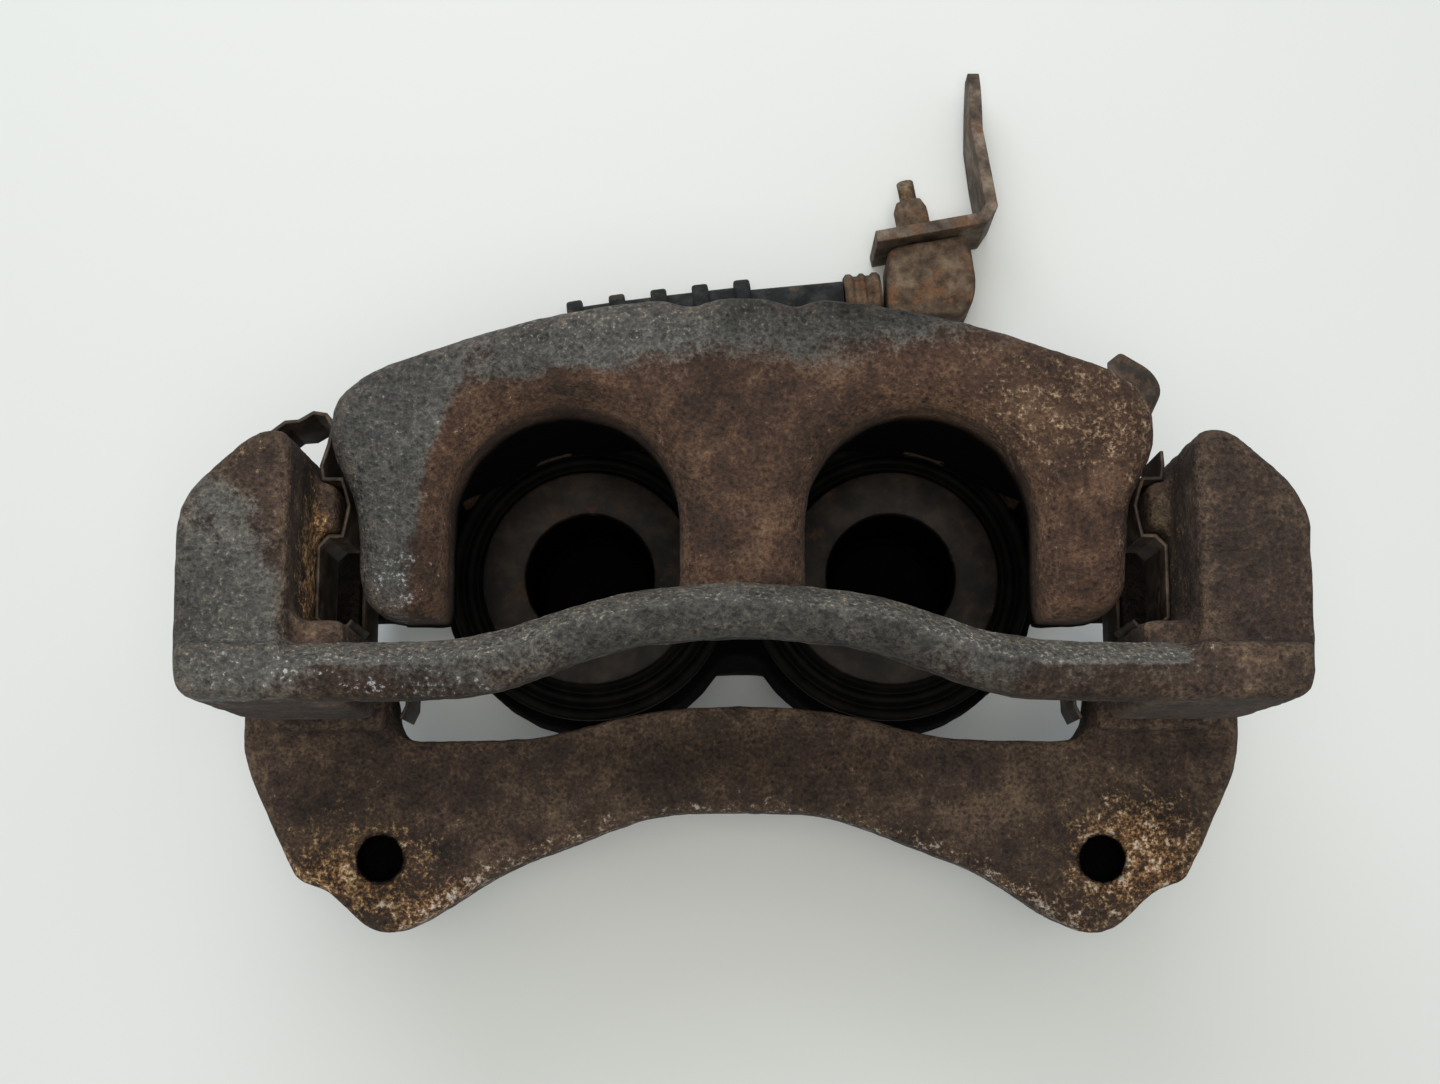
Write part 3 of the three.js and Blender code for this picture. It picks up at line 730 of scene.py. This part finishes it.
@dataclass
class Housing(Casting):
    """The caliper housing, black inside with brake soot and painted shade.

    A pair of heights or distances holds where something sets in and where it is full.
    """

    wheel_y: float = -126.0
    inside_r: float = 157.5  # radius of the bridge's underside about the wheel axis, with some to spare
    window_x: float = 35.6
    window_r: float = 23.1
    roll: Span = (7, 0)  # the rolled edge of a window, in distances from the window
    roll_z: Span = (143, 151)
    roll_depth: float = 4.0
    room_r: float = 27.5  # the pistons' room in their bores, whose floors drop below the solid's
    room_z: Span = (20, 16)
    room_end: float = 11.0
    room_drop: float = 2.0
    cylinder_r: float = 28.0
    # where the brake soot and painted shade inside the housing reach
    soot_shade_end: float = 16.0
    soot_shade_inboard: Span = (22, 38)
    soot_shade_outboard: Span = (144, 133)
    bare_rim: Span = (9, 0)
    bare: float = 0.9

    def off_window(self, place: np.ndarray) -> np.ndarray:
        """How far each place is from the windows' edges."""
        across = np.abs(np.abs(place[:, 0]) - self.window_x)
        return np.hypot(across, np.maximum(place[:, 1], 0)) - self.window_r

    def off_axis(self, place: np.ndarray) -> np.ndarray:
        """How far each place is from the nearer piston axis."""
        return np.hypot(np.abs(place[:, 0]) - self.window_x, place[:, 1])

    def shape(self, place: np.ndarray) -> np.ndarray:
        """Rolls the fingers' edges back round the windows, and leaves the pistons room in their bores."""
        result, z = place.copy(), place[:, 2]
        near = rise(self.off_window(place), *self.roll) ** 2
        result[:, 2] -= near * rise(z, *self.roll_z) * self.roll_depth
        bored = (self.off_axis(place) < self.room_r) & (z > self.room_end)
        result[:, 2] -= np.where(bored, rise(z, *self.room_z), 0) * self.room_drop
        return result

    def amounts(self, place: np.ndarray) -> np.ndarray:
        """Adds brake soot and painted shade between the fingers and the cylinders, and bares the rims of the
        windows.
        """
        total, z = super().amounts(place), place[:, 2]
        inside = (np.hypot(place[:, 0], place[:, 1] - self.wheel_y) < self.inside_r) & (z > self.soot_shade_end)
        ahead = np.where(self.off_axis(place) < self.cylinder_r, 1, rise(z, *self.soot_shade_inboard)) * inside
        # brake soot and painted shade, blackest deep inside between the fingers and round the pistons
        total[:, 3] += ahead * rise(z, *self.soot_shade_outboard)
        total[:, 0] -= self.bare * rise(self.off_window(place), *self.bare_rim)
        return np.clip(total, 0, 1)


@dataclass
class Bracket(Casting):
    """The anchor bracket, whose outboard bar has a crease along it.

    A pair of heights or distances holds where something sets in and where it is full.
    """

    bar_z: float = 161.0  # the bar's outboard half begins here
    bar_y: float = -8.0
    bar_step: float = 3.0
    crease: float = 0.58  # share of the bar's height below the crease
    crease_width: float = 0.03
    fall: float = 5.0  # how far the upper band falls back
    fall_z: Span = (161, 166)
    fall_x: Span = (104, 92)
    # the stretch of the bar whose bands get painted light and painted shade
    painted_band_x: Span = (86, 78)
    arch_y: float = -172.9  # centre and radius of the arch under the plate
    arch_r: float = 117.5
    arch_rim: float = 4.0
    arch_z: Span = (58, 84)
    corrosion: float = 0.34
    hole: Span = (82, -66)  # the right mounting hole
    hole_r: float = 5.7
    # the depths where painted shade inside the mounting holes sets in and is full
    hole_z: Span = (80.2, 79)
    slot_corner: Spot = (93, -24, 62)  # the slots for the pads lie within this |x| and above this y and z
    # the depths where painted shade in the pad slots sets in and is full
    slot_z: Span = (122, 102)

    def up_bar(self, place: np.ndarray) -> tuple[np.ndarray, np.ndarray]:
        """Which points are on the bar's outboard half, and how far up the bar they are, from 0 to 1."""
        bar = (place[:, 2] > self.bar_z) & (place[:, 1] < self.bar_y)
        steps = place[:, 0] / self.bar_step
        bins = np.round(steps).astype(int)
        keys = np.unique(bins[bar])
        rows = [place[bar & (bins == b), 1] for b in keys]
        bottom = np.interp(steps, keys, [row.min() for row in rows])
        top = np.interp(steps, keys, [row.max() for row in rows])
        return bar, (place[:, 1] - bottom) / np.maximum(top - bottom, 1)

    def shape(self, place: np.ndarray) -> np.ndarray:
        """Lays back the band of the bar above its crease."""
        bar, share = self.up_bar(place)
        drop_by = rise(share, self.crease, 1) * self.fall
        drop_by *= rise(place[:, 2], *self.fall_z) * rise(np.abs(place[:, 0]), *self.fall_x)
        result = place.copy()
        result[bar, 2] -= drop_by[bar]
        return result

    def amounts(self, place: np.ndarray) -> np.ndarray:
        """Paints shade under the crease and in the pad slots and mounting holes, paints light and flecks
        above the crease, and corrodes the plate's lower edge.
        """
        total = super().amounts(place)
        (x, y, z), (bar, share) = place.T, self.up_bar(place)
        under = rise(share, self.crease + self.crease_width, self.crease - self.crease_width)
        inner = rise(np.abs(x), *self.painted_band_x) * bar
        # the band under the crease gets painted shade as soot; the band above gets painted light as more grey
        # paint, pale flecks and tan rust, partly the bar's real speckle
        total[:, 3] += under * inner * 0.3
        total[:, 0] += (0.8 - under) * inner
        total[:, 1] += (1 - under) * inner * 0.1
        rim = np.exp(-((np.hypot(x, y - self.arch_y) - self.arch_r) / self.arch_rim) ** 2)
        rim *= (z < self.arch_z[1]) * (z > self.arch_z[0]) * self.corrosion
        total[:, 1:3] += rim[:, None]
        # painted shade inside the mounting holes, below the outboard face
        hole = np.hypot(np.abs(x) - self.hole[0], y - self.hole[1])
        total[:, 3] += (hole < self.hole_r) * rise(z, *self.hole_z)
        # painted shade in the pad slots, darker the deeper in
        wide, low, inboard = self.slot_corner
        slot = (np.abs(x) < wide) & (y > low) & (z > inboard)
        total[:, 3] += slot * rise(z, *self.slot_z) * 0.5
        return np.clip(total, 0, 1)


# ---- round parts
@dataclass
class Hydraulics:
    """The pistons with their seals and dust boots."""

    bore_y: float
    bore_x: float
    piston_r: float = 25.5
    piston_z: Span = (22, 70)
    cup_r: float = 15
    cup_floor: float = 34
    # how black the painted shade inside the cup is
    cup_shade: float = 0.95

    def axis(self, side: Side) -> Lathe:
        """The piston's axis on one side."""
        return Lathe(Vector((side.sign * self.bore_x, self.bore_y, 0)))

    def piston(self, side: Side) -> Thing:
        """A phenolic piston: a thick-walled cup with a groove for its boot and rounded rims."""
        (low, face), r, cup, floor = self.piston_z, self.piston_r, self.cup_r, self.cup_floor
        profile = [(0, low), (r - 1.4, low), (r - 0.4, low + 0.4), (r, low + 1.4), (r, 62.6), (23.9, 62.7),
                   (23.9, 66), (r, 66.1), (r, face - 1), (r - 0.3, face - 0.3), (r - 1, face),
                   (cup + 1.6, face), (cup + 0.5, face - 0.4), (cup, face - 1.6), (cup, floor + 2),
                   (cup - 2, floor), (0, floor)]
        node, axis = f"piston_{side.value}", self.axis(side)
        mesh = axis.mesh(node + "_phenolic", profile)
        # painted shade: the inside of the cup is blackened
        soot_and_shade = mesh.attributes.new("soot_and_shade", "FLOAT", "POINT")
        for spot, corner in zip(soot_and_shade.data, mesh.vertices):
            away = (corner.co - axis.foot).to_2d().length / MM
            spot.value = self.cup_shade if away < cup + 0.4 and corner.co.z < (face - 0.2) * MM else 0.0
        return dressed(node, "phenolic", mesh, PHENOLIC, Body(node))

    def seal(self, side: Side) -> Thing:
        """The square-section seal ring in its groove."""
        inner, outer = self.piston_r + 0.15, 28.2
        section = rounded([(inner, 50.3, 0.4), (outer, 50.3, 0.4), (outer, 53.7, 0.4), (inner, 53.7, 0.4)], 2)
        return self.axis(side).piece(f"piston_seal_{side.value}", "ring", section, EPDM)

    def boot(self, side: Side) -> Thing:
        """The bellows from the cylinder's mouth to the piston's groove, with round folds."""
        section = rounded([
            (27.2, 58.4, 0.5), (30.1, 58.4, 0.5), (30.1, 61.9, 0.4), (31.4, 62.5, 0.6), (33.6, 62.7, 0.9),
            (33.6, 66.2, 1.4), (31.6, 66.2, 1.0), (30.6, 63.9, 0.8), (29.4, 66.0, 0.8), (28.2, 66.0, 0.8),
            (27.2, 64.0, 0.8), (25.9, 65.7, 0.7), (24.05, 65.5, 0.3), (24.05, 62.9, 0.3), (27.2, 62.5, 0.9)])
        axis = self.axis(side)
        made = axis.piece(f"piston_dust_boot_{side.value}", "bellows", section, EPDM, None, angle=60)
        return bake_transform(made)

    def build(self) -> list[Thing]:
        """Makes both sides."""
        return [make(side) for side in Side for make in (self.piston, self.seal, self.boot)]


@dataclass
class GuidePins:
    """The pins that the caliper slides on, with their bolts, boots and bushing."""

    bore_y: float
    pin_x: float
    pin_y: float

    def axis(self, side: Side) -> Lathe:
        """The pin's axis on one side."""
        return Lathe(Vector((side.sign * self.pin_x, self.pin_y, 0)))

    def pin(self, side: Side) -> Thing:
        """A guide pin with a hexagon next to the ear; the right one has a bushed tip."""
        shank = [(5.5, 57.6), (5.5, 117.2), (4.7, 118), (0, 118)]
        if side is Side.RIGHT:
            shank = [(5.5, 57.6), (5.5, 105.2), (5.2, 105.6), (4, 105.7), (4, 117.4), (3.4, 118), (0, 118)]
        profile = [(0, 74), (4, 74), (4, 52.4), (8.4, 52.4), (9.6, 53.0), (9.6, 56.8), (8.4, 57.4), *shank]
        return self.axis(side).piece(f"guide_pin_{side.value}", "ground", profile, PIN_STEEL,
                                     flats=6, across=17, facet=(52.3, 57.5))

    def bolt(self, side: Side) -> Thing:
        """The flanged bolt that holds the pin to the ear."""
        profile = [(0, 31.6), (5.8, 31.6), (6.4, 31.9), (7.4, 32.6), (7.4, 37.9), (8.3, 38.1), (8.7, 38.6),
                   (8.7, 39.5), (3.7, 39.6), (3.7, 70), (2.8, 71), (0, 71)]
        return self.axis(side).piece(f"guide_pin_bolt_{side.value}", "flanged", profile, PLATED_STEEL,
                                     flats=6, across=13, facet=(31.5, 38.0))

    def boot(self, side: Side) -> Thing:
        """The small bellows between the pin's hexagon and the bracket."""
        section = rounded([
            (5.75, 57.75, 0.3), (7.8, 57.75, 0.5), (9.2, 59.4, 0.8), (7.5, 60.9, 0.5), (9.0, 62.2, 0.8),
            (8.1, 63.4, 0.4), (8.1, 66.6, 0.4), (6.5, 66.6, 0.4), (6.5, 61.4, 0.5), (5.75, 60.2, 0.3)])
        axis = self.axis(side)
        made = axis.piece(f"guide_pin_boot_{side.value}", "bellows", section, EPDM, None, angle=60)
        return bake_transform(made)

    def bushing(self) -> Thing:
        """The ribbed rubber bushing on the right pin's tip."""
        rib = ((0, 5.0), (0.4, 5.45), (1.4, 5.45), (1.8, 5.0))
        ribs = [(r, 106 + 2.2 * i + dz) for i in range(5) for dz, r in rib]
        return self.axis(Side.RIGHT).piece(
            "guide_pin_bushing", "ribbed", [(4.2, 106), *ribs, (4.2, 116.9), (4.2, 106)], EPDM,
            segments=48)

    def build(self) -> list[Thing]:
        """Makes both sides."""
        return [self.bushing(), *[make(side) for side in Side for make in (self.pin, self.bolt, self.boot)]]


# ---- sheet, inlet and bleed screw
@dataclass
class PadClips:
    """The spring clips in the slots for the pad ears, with their edges rounded."""

    rounding: float = 0.22

    def build(self) -> list[Thing]:
        """Makes the four clips."""
        pieces = []
        for row in ("inboard", "outboard"):
            for side in Side:
                node = f"pad_clip_{row}_{side.value}"
                mesh = softened(node, node + "_strip", self.rounding, 2)
                pieces.append(dressed(node, "strip", mesh, SPRING_STEEL, Body.ANCHOR))
        return pieces


@dataclass
class BleedScrew:
    """The bleed screw and its rubber cap."""

    foot: Vector
    angle: float = 0.876

    @property
    def axis(self) -> Lathe:
        """The screw's axis, out of the housing."""
        return Lathe(self.foot, Vector((math.cos(self.angle), math.sin(self.angle), 0)))

    def screw(self) -> Thing:
        """The screw: cone, thread, hexagon, neck and barb."""
        thread = [(r, 30.6 + 0.5 * i) for i, r in enumerate([4.0, 3.6] * 11)]
        profile = [(0, 28.4), (2, 28.4), *thread, (4, 41.6), (4, 42.6), (5, 42.7), (5.8, 43.2), (5.8, 48.4),
                   (5, 48.9), (2.9, 49), (2.4, 50), (2.4, 54), (3.3, 55), (3.4, 57), (2.3, 60.6), (1.2, 61),
                   (1.2, 56), (0, 56)]
        return self.axis.piece("bleeder_screw", "turned", profile, PLATED_STEEL, Body.BLEEDER,
                               segments=72, flats=6, across=10, facet=(42.65, 48.95))

    def cap(self) -> Thing:
        """The cap: a rolled lip, a waist and a domed end."""
        profile = [(3.7, 49.8), (4.4, 49.65), (5, 50), (5, 51.4), (4.6, 51.9), (4.6, 61.6), (4.2, 62.8),
                   (3.2, 63.5), (0, 63.6), (0, 61.8), (3.2, 61.8), (3.7, 61.2), (3.7, 49.8)]
        return self.axis.piece("bleeder_cap", "moulded", profile, EPDM, Body.BLEEDER_CAP,
                               segments=48, angle=50)

    def build(self) -> list[Thing]:
        """Makes both pieces."""
        return [self.screw(), self.cap()]


@dataclass
class Inlet:
    """The banjo bolt and its washers."""

    axis: Lathe

    def bolt(self) -> Thing:
        """The hollow banjo bolt with its hexagon head."""
        profile = [(0, -9), (4, -9), (4.7, -8.2), (4.7, 14.3), (7.2, 14.35), (8.1, 14.9), (8.1, 20.2),
                   (7.2, 20.9), (0, 20.9)]
        return self.axis.piece("banjo_bolt", "hexagon", profile, PLATED_STEEL,
                               flats=6, across=14, facet=(14.3, 21))

    def washer(self, node: str, low: float) -> Thing:
        """A soft copper washer with round edges, from a height over the boss."""
        section = rounded([(5.2, low, 0.3), (8.5, low, 0.4), (8.5, low + 1.5, 0.4), (5.2, low + 1.5, 0.3)], 3)
        return self.axis.piece(node, "copper", section, COPPER, segments=64)

    def build(self) -> list[Thing]:
        """Makes the bolt and both washers."""
        return [self.bolt(), self.washer("banjo_washer_inner", 0.3), self.washer("banjo_washer_outer", 12.4)]


# ---- hose
HOSE_ROUTE = [  # millimetres, y from the piston axes
    (-82, 28.1, 13.4), (-82, 32.8, 12.9), (-81.3, 39.8, 11), (-79.3, 47.4, 9.9), (-76, 54.5, 9.2),
    (-71.5, 60.9, 8.8), (-65.9, 66.5, 8.6), (-59.5, 71, 8.6), (-52.4, 74.3, 8.6), (-44.8, 76.3, 8.6),
    (-34.4, 78, 8.6), (-22.4, 79.6, 8.6), (-10.7, 81, 8.6), (0.6, 82.3, 8.6), (12, 83.4, 8.6),
    (20.5, 84.2, 8.6), (28.5, 84.9, 8.8),
]


@dataclass
class BrakeHose:
    """The flexible hose with its guard, ferrules, union block, bracket and pipe."""

    bore_y: float
    radius: float = 5.25
    guard_span: Span = (0.472, 0.823)
    guard_r: float = 6.3
    ribs: int = 5
    rib_foot: float = 5.9
    rib_r: float = 8.2
    rib_width: float = 4.4
    line: list[Vector] = field(init=False)

    def __post_init__(self) -> None:
        """Works out the hose's centreline."""
        points = [Vector((x * MM, y * MM + self.bore_y, z * MM)) for x, y, z in HOSE_ROUTE]
        self.line = smooth_route(points)

    @property
    def length(self) -> float:
        """The length of the hose between its ferrules."""
        return sum((b - a).length for a, b in zip(self.line, self.line[1:]))

    def stretch(self, start: float, end: float, count: int) -> list[Vector]:
        """Evenly spaced points between two shares of the hose's length."""
        run = [0.0]
        for a, b in zip(self.line, self.line[1:]):
            run.append(run[-1] + (b - a).length)
        wanted = np.linspace(start, end, count) * run[-1]
        tracks = [np.interp(wanted, run, [p[i] for p in self.line]) for i in range(3)]
        return [Vector(spot) for spot in zip(*tracks)]

    def hose(self) -> Thing:
        """The rubber hose itself."""
        mesh = finished(swept(self.line, self.radius * MM), "brake_hose_rubber", 60)
        return dressed("brake_hose", "rubber", mesh, HOSE_RUBBER)

    def rib(self) -> Thing:
        """One moulded rib, about the origin, for the guard's node tree."""
        half = self.rib_width / 2
        foot, tip = self.rib_foot, self.rib_r
        section = rounded([(foot, -half, 0.2), (tip, -half, 0.9), (tip, half, 0.9), (foot, half, 0.2)], 3)
        mesh = finished(turned(section, 40), "guard_rib", 60)
        made = bpy.data.objects.new("guard_rib", mesh)
        bpy.context.scene.collection.objects.link(made)
        return made

    def rib_tree(self) -> Tree:
        """A node tree that sets ribs at even steps along a line."""
        tree = bpy.data.node_groups.new("ribs along a line", "GeometryNodeTree")
        for name, kind in (("Line", "Geometry"), ("Rib", "Object"), ("Ribs", "Int")):
            tree.interface.new_socket(name, in_out="INPUT", socket_type=f"NodeSocket{kind}")
        tree.interface.new_socket("Guard", in_out="OUTPUT", socket_type="NodeSocketGeometry")
        given = add(tree, "NodeGroupInput").outputs
        spots = add(tree, "GeometryNodeCurveToPoints", {"Curve": given["Line"], "Count": given["Ribs"]},
                    mode="COUNT")
        shape = add(tree, "GeometryNodeObjectInfo", {"Object": given["Rib"]})
        set_out = add(tree, "GeometryNodeInstanceOnPoints", {
            "Points": spots.outputs["Points"], "Instance": shape.outputs["Geometry"],
            "Rotation": spots.outputs["Rotation"]})
        solid = add(tree, "GeometryNodeRealizeInstances", {"Geometry": set_out.outputs[0]})
        add(tree, "NodeGroupOutput", {"Guard": solid.outputs[0]})
        return tree

    def guard(self) -> Thing:
        """The moulded guard: a sleeve with ribs."""
        low, high = self.guard_span
        inset = self.rib_width * MM / 2 / self.length
        rail = bpy.data.curves.new("guard_rail", "CURVE")
        rail.dimensions = "3D"
        spline = rail.splines.new("POLY")
        track = self.stretch(low + inset, high - inset, 60)
        spline.points.add(len(track) - 1)
        for point, spot in zip(spline.points, track):
            point.co = (*spot, 1)
        holder = bpy.data.objects.new("guard_rail", rail)
        bpy.context.scene.collection.objects.link(holder)
        tree, rib = self.rib_tree(), self.rib()
        modifier = holder.modifiers.new("ribs", "NODES")
        modifier.node_group = tree
        names = {item.name: item.identifier for item in tree.interface.items_tree if item.in_out == "INPUT"}
        modifier[names["Rib"]], modifier[names["Ribs"]] = rib, self.ribs
        ribs = evaluated(holder, "guard_ribs")
        bpy.data.objects.remove(holder)
        bpy.data.objects.remove(rib)
        shape = swept(self.stretch(low, high, 50), self.guard_r * MM)
        shape.from_mesh(ribs)
        bpy.data.meshes.remove(ribs)
        mesh = bpy.data.meshes.new("hose_guard_moulded")
        shape.to_mesh(mesh)
        shape.free()
        shade(mesh, 50)
        return dressed("hose_guard", "moulded", mesh, HOSE_RUBBER)

    def fitting(self, node: str, rounding: float, finish: Finish) -> Thing:
        """A metal piece of the hose with its edges rounded."""
        return dressed(node, "metal", softened(node, node + "_metal", rounding), finish)

    def ferrule(self, node: str, axis: Lathe, span: Span, radius: float) -> Thing:
        """A crimped ferrule: a tube with two rolled grooves."""
        low, high = span
        third = (high - low) / 3
        profile = [(0, low), (radius - 1, low), (radius, low + 0.8)]
        for i in (1, 2):
            centre = low + third * i
            profile += [(radius, centre - 1.3), (radius - 0.7, centre - 0.5), (radius - 0.7, centre + 0.5),
                        (radius, centre + 1.3)]
        profile += [(radius, high - 0.8), (radius - 0.8, high), (0, high)]
        return axis.piece(node, "crimped", profile, RUSTED_STEEL, segments=56)

    def build(self) -> list[Thing]:
        hose = self.hose()
        start, end = self.line[0], self.line[-1]
        near = Vector((-82.1 * MM, self.bore_y, 13.5 * MM))
        pieces = [
            self.guard(),
            self.ferrule("hose_ferrule_caliper", Lathe(near, Vector((0, 1, 0))), (15.3, 27), 7.2),
            self.ferrule("hose_ferrule_end", Lathe(end, Vector((1, 0.085, 0))), (0.3, 10.2), 7),
            self.fitting("banjo_fitting", 0.5, PLATED_STEEL),
            self.fitting("hose_end_block", 0.9, RUSTED_STEEL),
            self.fitting("hose_bracket", 0.7, BRACKET_STEEL),
            self.fitting("tube_nut", 0.35, RUSTED_STEEL),
            self.fitting("brake_pipe_stub", 0.2, PLATED_STEEL),
        ]
        self.length
        return [hose, *pieces]


# ---- stage
@dataclass
class Studio:
    """The camera, the lights and the floor."""

    bore_y: float
    lens: float = 52.3
    eye: Spot = (-2.7, -71.6, 560)  # millimetres, y from the piston axes
    ahead: Spot = (-0.0042, 0.1612, -0.9869)
    floor_colour: str = "#c9cdcb"
    reach: float = 20.0  # half the floor's width, in metres
    room_colour: str = "#e6edf2"
    room_strength: float = 0.54

    def camera(self) -> None:
        """Sets the camera nearly straight above the fingers."""
        data = bpy.data.cameras.new("camera")
        data.lens, data.sensor_width, data.sensor_fit = self.lens, 36, "HORIZONTAL"
        data.clip_start = 0.01
        camera = bpy.data.objects.new("camera", data)
        back = -Vector(self.ahead).normalized()
        right = Vector((0, 1, 0)).cross(back).normalized()
        up = back.cross(right)
        turn = Matrix((right, up, back)).transposed().to_4x4()
        x, y, z = self.eye
        camera.matrix_world = Matrix.Translation((x * MM, y * MM + self.bore_y, z * MM)) @ turn
        bpy.context.scene.collection.objects.link(camera)
        bpy.context.scene.camera = camera

    def light(self, name: str, spot: Spot, size: float, power: float, colour: str) -> None:
        """A soft square light aimed at the caliper."""
        data = bpy.data.lights.new(name, "AREA")
        data.size, data.energy, data.color = size, power, linear(colour)[:3]
        lamp = bpy.data.objects.new(name, data)
        lamp.location = spot
        lamp.rotation_euler = (Vector((0, 0, 0.1)) - Vector(spot)).to_track_quat("-Z", "Y").to_euler()
        bpy.context.scene.collection.objects.link(lamp)

    def floor(self) -> None:
        """A plain pale floor."""
        mesh = bpy.data.meshes.new("floor")
        corners = [(x * self.reach, y * self.reach, 0) for x, y in ((-1, -1), (1, -1), (1, 1), (-1, 1))]
        mesh.from_pydata(corners, [], [(0, 1, 2, 3)])
        placed("floor", mesh, PlainColour("painted board", "", self.floor_colour))

    def build(self) -> None:
        """Lights the floor and the caliper."""
        bpy.context.scene.view_settings.view_transform = "Standard"
        world = bpy.data.worlds.new("room")
        world.use_nodes = True
        background = world.node_tree.nodes["Background"].inputs
        background["Color"].default_value = linear(self.room_colour)
        background["Strength"].default_value = self.room_strength
        bpy.context.scene.world = world
        self.light("window", (-0.2, 0.75, 0.85), 0.8, 6.8, "#fbfbff")
        self.light("ceiling", (0.1, 0.2, 1.2), 0.8, 4.2, "#fff8ee")
        self.light("fill", (0.0, -0.14, 0.9), 0.3, 3.2, "#fff6ea")
        self.floor()


HOUSING_PATCHES = [
    Patch((-64, 14, 150), (40, 44, 60), paint=0.62, salt=0.05),
    Patch((-4, 44, 140), (62, 11, 60), paint=0.68, soot_and_shade=0.14),
    Patch((26, 44, 146), (38, 9, 24), soot_and_shade=0.3),
    Patch((-54, -2, 153), (7, 34, 12), rust=0.06, paint=-0.7),
    Patch((-36, 23, 150), (24, 4, 12), rust=0.08, paint=-0.25),
    Patch((66, 22, 150), (24, 16, 22), rust=0.34),
    Patch((78, 2, 150), (8, 26, 16), rust=0.1),
    Patch((-68, -12, 153), (8, 7, 10), salt=0.3),
    Patch((0, 0, 153), (12, 26, 16), rust=0.05),
    Patch((4, 33, 153), (16, 5, 12), rust=0.1),
    # painted shade on the web between the cylinders
    Patch((0, -16, 40), (24, 12, 40), soot_and_shade=0.8),
]
BRACKET_PATCHES = [
    Patch((-8, -24, 168), (118, 22, 9), paint=0.8),
    Patch((104, -30, 168), (15, 14, 12), paint=-0.6, rust=0.12),
    Patch((-103, -14, 162), (14, 32, 14), paint=0.62, soot_and_shade=0.16),
    Patch((-60, -35, 168), (18, 4, 9), salt=0.34),
    Patch((-94, -31, 168), (18, 8, 9), salt=0.28),
    Patch((82, -28, 168), (12, 6, 9), salt=0.24, rust=0.1),
    Patch((-96, 12, 150), (9, 8, 22), rust=0.26, paint=-0.5),
    Patch((90, -66, 78), (22, 18, 14), rust=0.56, salt=0.36),
    Patch((-87, -8, 138), (4, 18, 16), rust=0.6),
    Patch((87, -8, 138), (4, 18, 16), rust=0.2),
    Patch((-88, -70, 78), (24, 16, 14), rust=0.52, salt=0.28),
    # painted shade on the plate under the bar and housing
    Patch((0, -44, 80), (56, 10, 14), soot_and_shade=0.34),
]


def main() -> None:
    """Builds the whole caliper, one sub-assembly after another."""
    logging.basicConfig(level=logging.INFO, format="%(message)s")
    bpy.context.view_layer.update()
    low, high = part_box("piston_right")
    bore_x, bore_y = (low.x + high.x) / 2, (low.y + high.y) / 2
    low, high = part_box("guide_pin_right")
    pin_x, pin_y = (low.x + high.x) / 2, (low.y + high.y) / 2
    studio = Studio(bore_y)
    studio.camera()
    built = BrakeHose(bore_y).build()
    true_bores = [Bore((s * bore_x / MM, 0), 25.8, (13, 60)) for s in (-1, 1)]
    pin_bores = [Bore((s * pin_x / MM, (pin_y - bore_y) / MM), 5.8, (60, 128)) for s in (-1, 1)]
    bolt_bores = [Bore((s * 82, -66), 5.2, (34, 82)) for s in (-1, 1)]
    built.append(Housing("caliper_housing", HOUSING_IRON, Body.CALIPER, bore_y,
                         (0.25, 0.2, 0.1), HOUSING_PATCHES, true_bores, voxel=1.35).build())
    built.append(Bracket("anchor_bracket", BRACKET_IRON, Body.ANCHOR, bore_y,
                         (0.1, 0.12, 0.06), BRACKET_PATCHES, pin_bores + bolt_bores, voxel=1.15).build())
    built += Hydraulics(bore_y, bore_x).build()
    built += GuidePins(bore_y, pin_x, pin_y).build()
    built += PadClips().build()
    built += BleedScrew(Vector((bore_x, bore_y, 20 * MM))).build()
    inlet = Vector((-75 * MM, bore_y + 4 * MM, 15 * MM))
    built += Inlet(Lathe(inlet, Vector((-1, 0, 0)))).build()
    for piece in built:
        LOG.info("built %s, %d faces", piece.name, len(piece.data.polygons))
    studio.build()


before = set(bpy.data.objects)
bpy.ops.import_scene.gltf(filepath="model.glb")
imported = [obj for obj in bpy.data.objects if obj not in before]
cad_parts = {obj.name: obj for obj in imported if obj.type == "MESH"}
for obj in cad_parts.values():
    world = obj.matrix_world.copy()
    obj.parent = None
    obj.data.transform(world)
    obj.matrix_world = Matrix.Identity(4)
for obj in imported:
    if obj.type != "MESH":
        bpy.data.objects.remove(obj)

if __name__ == "__main__":
    main()
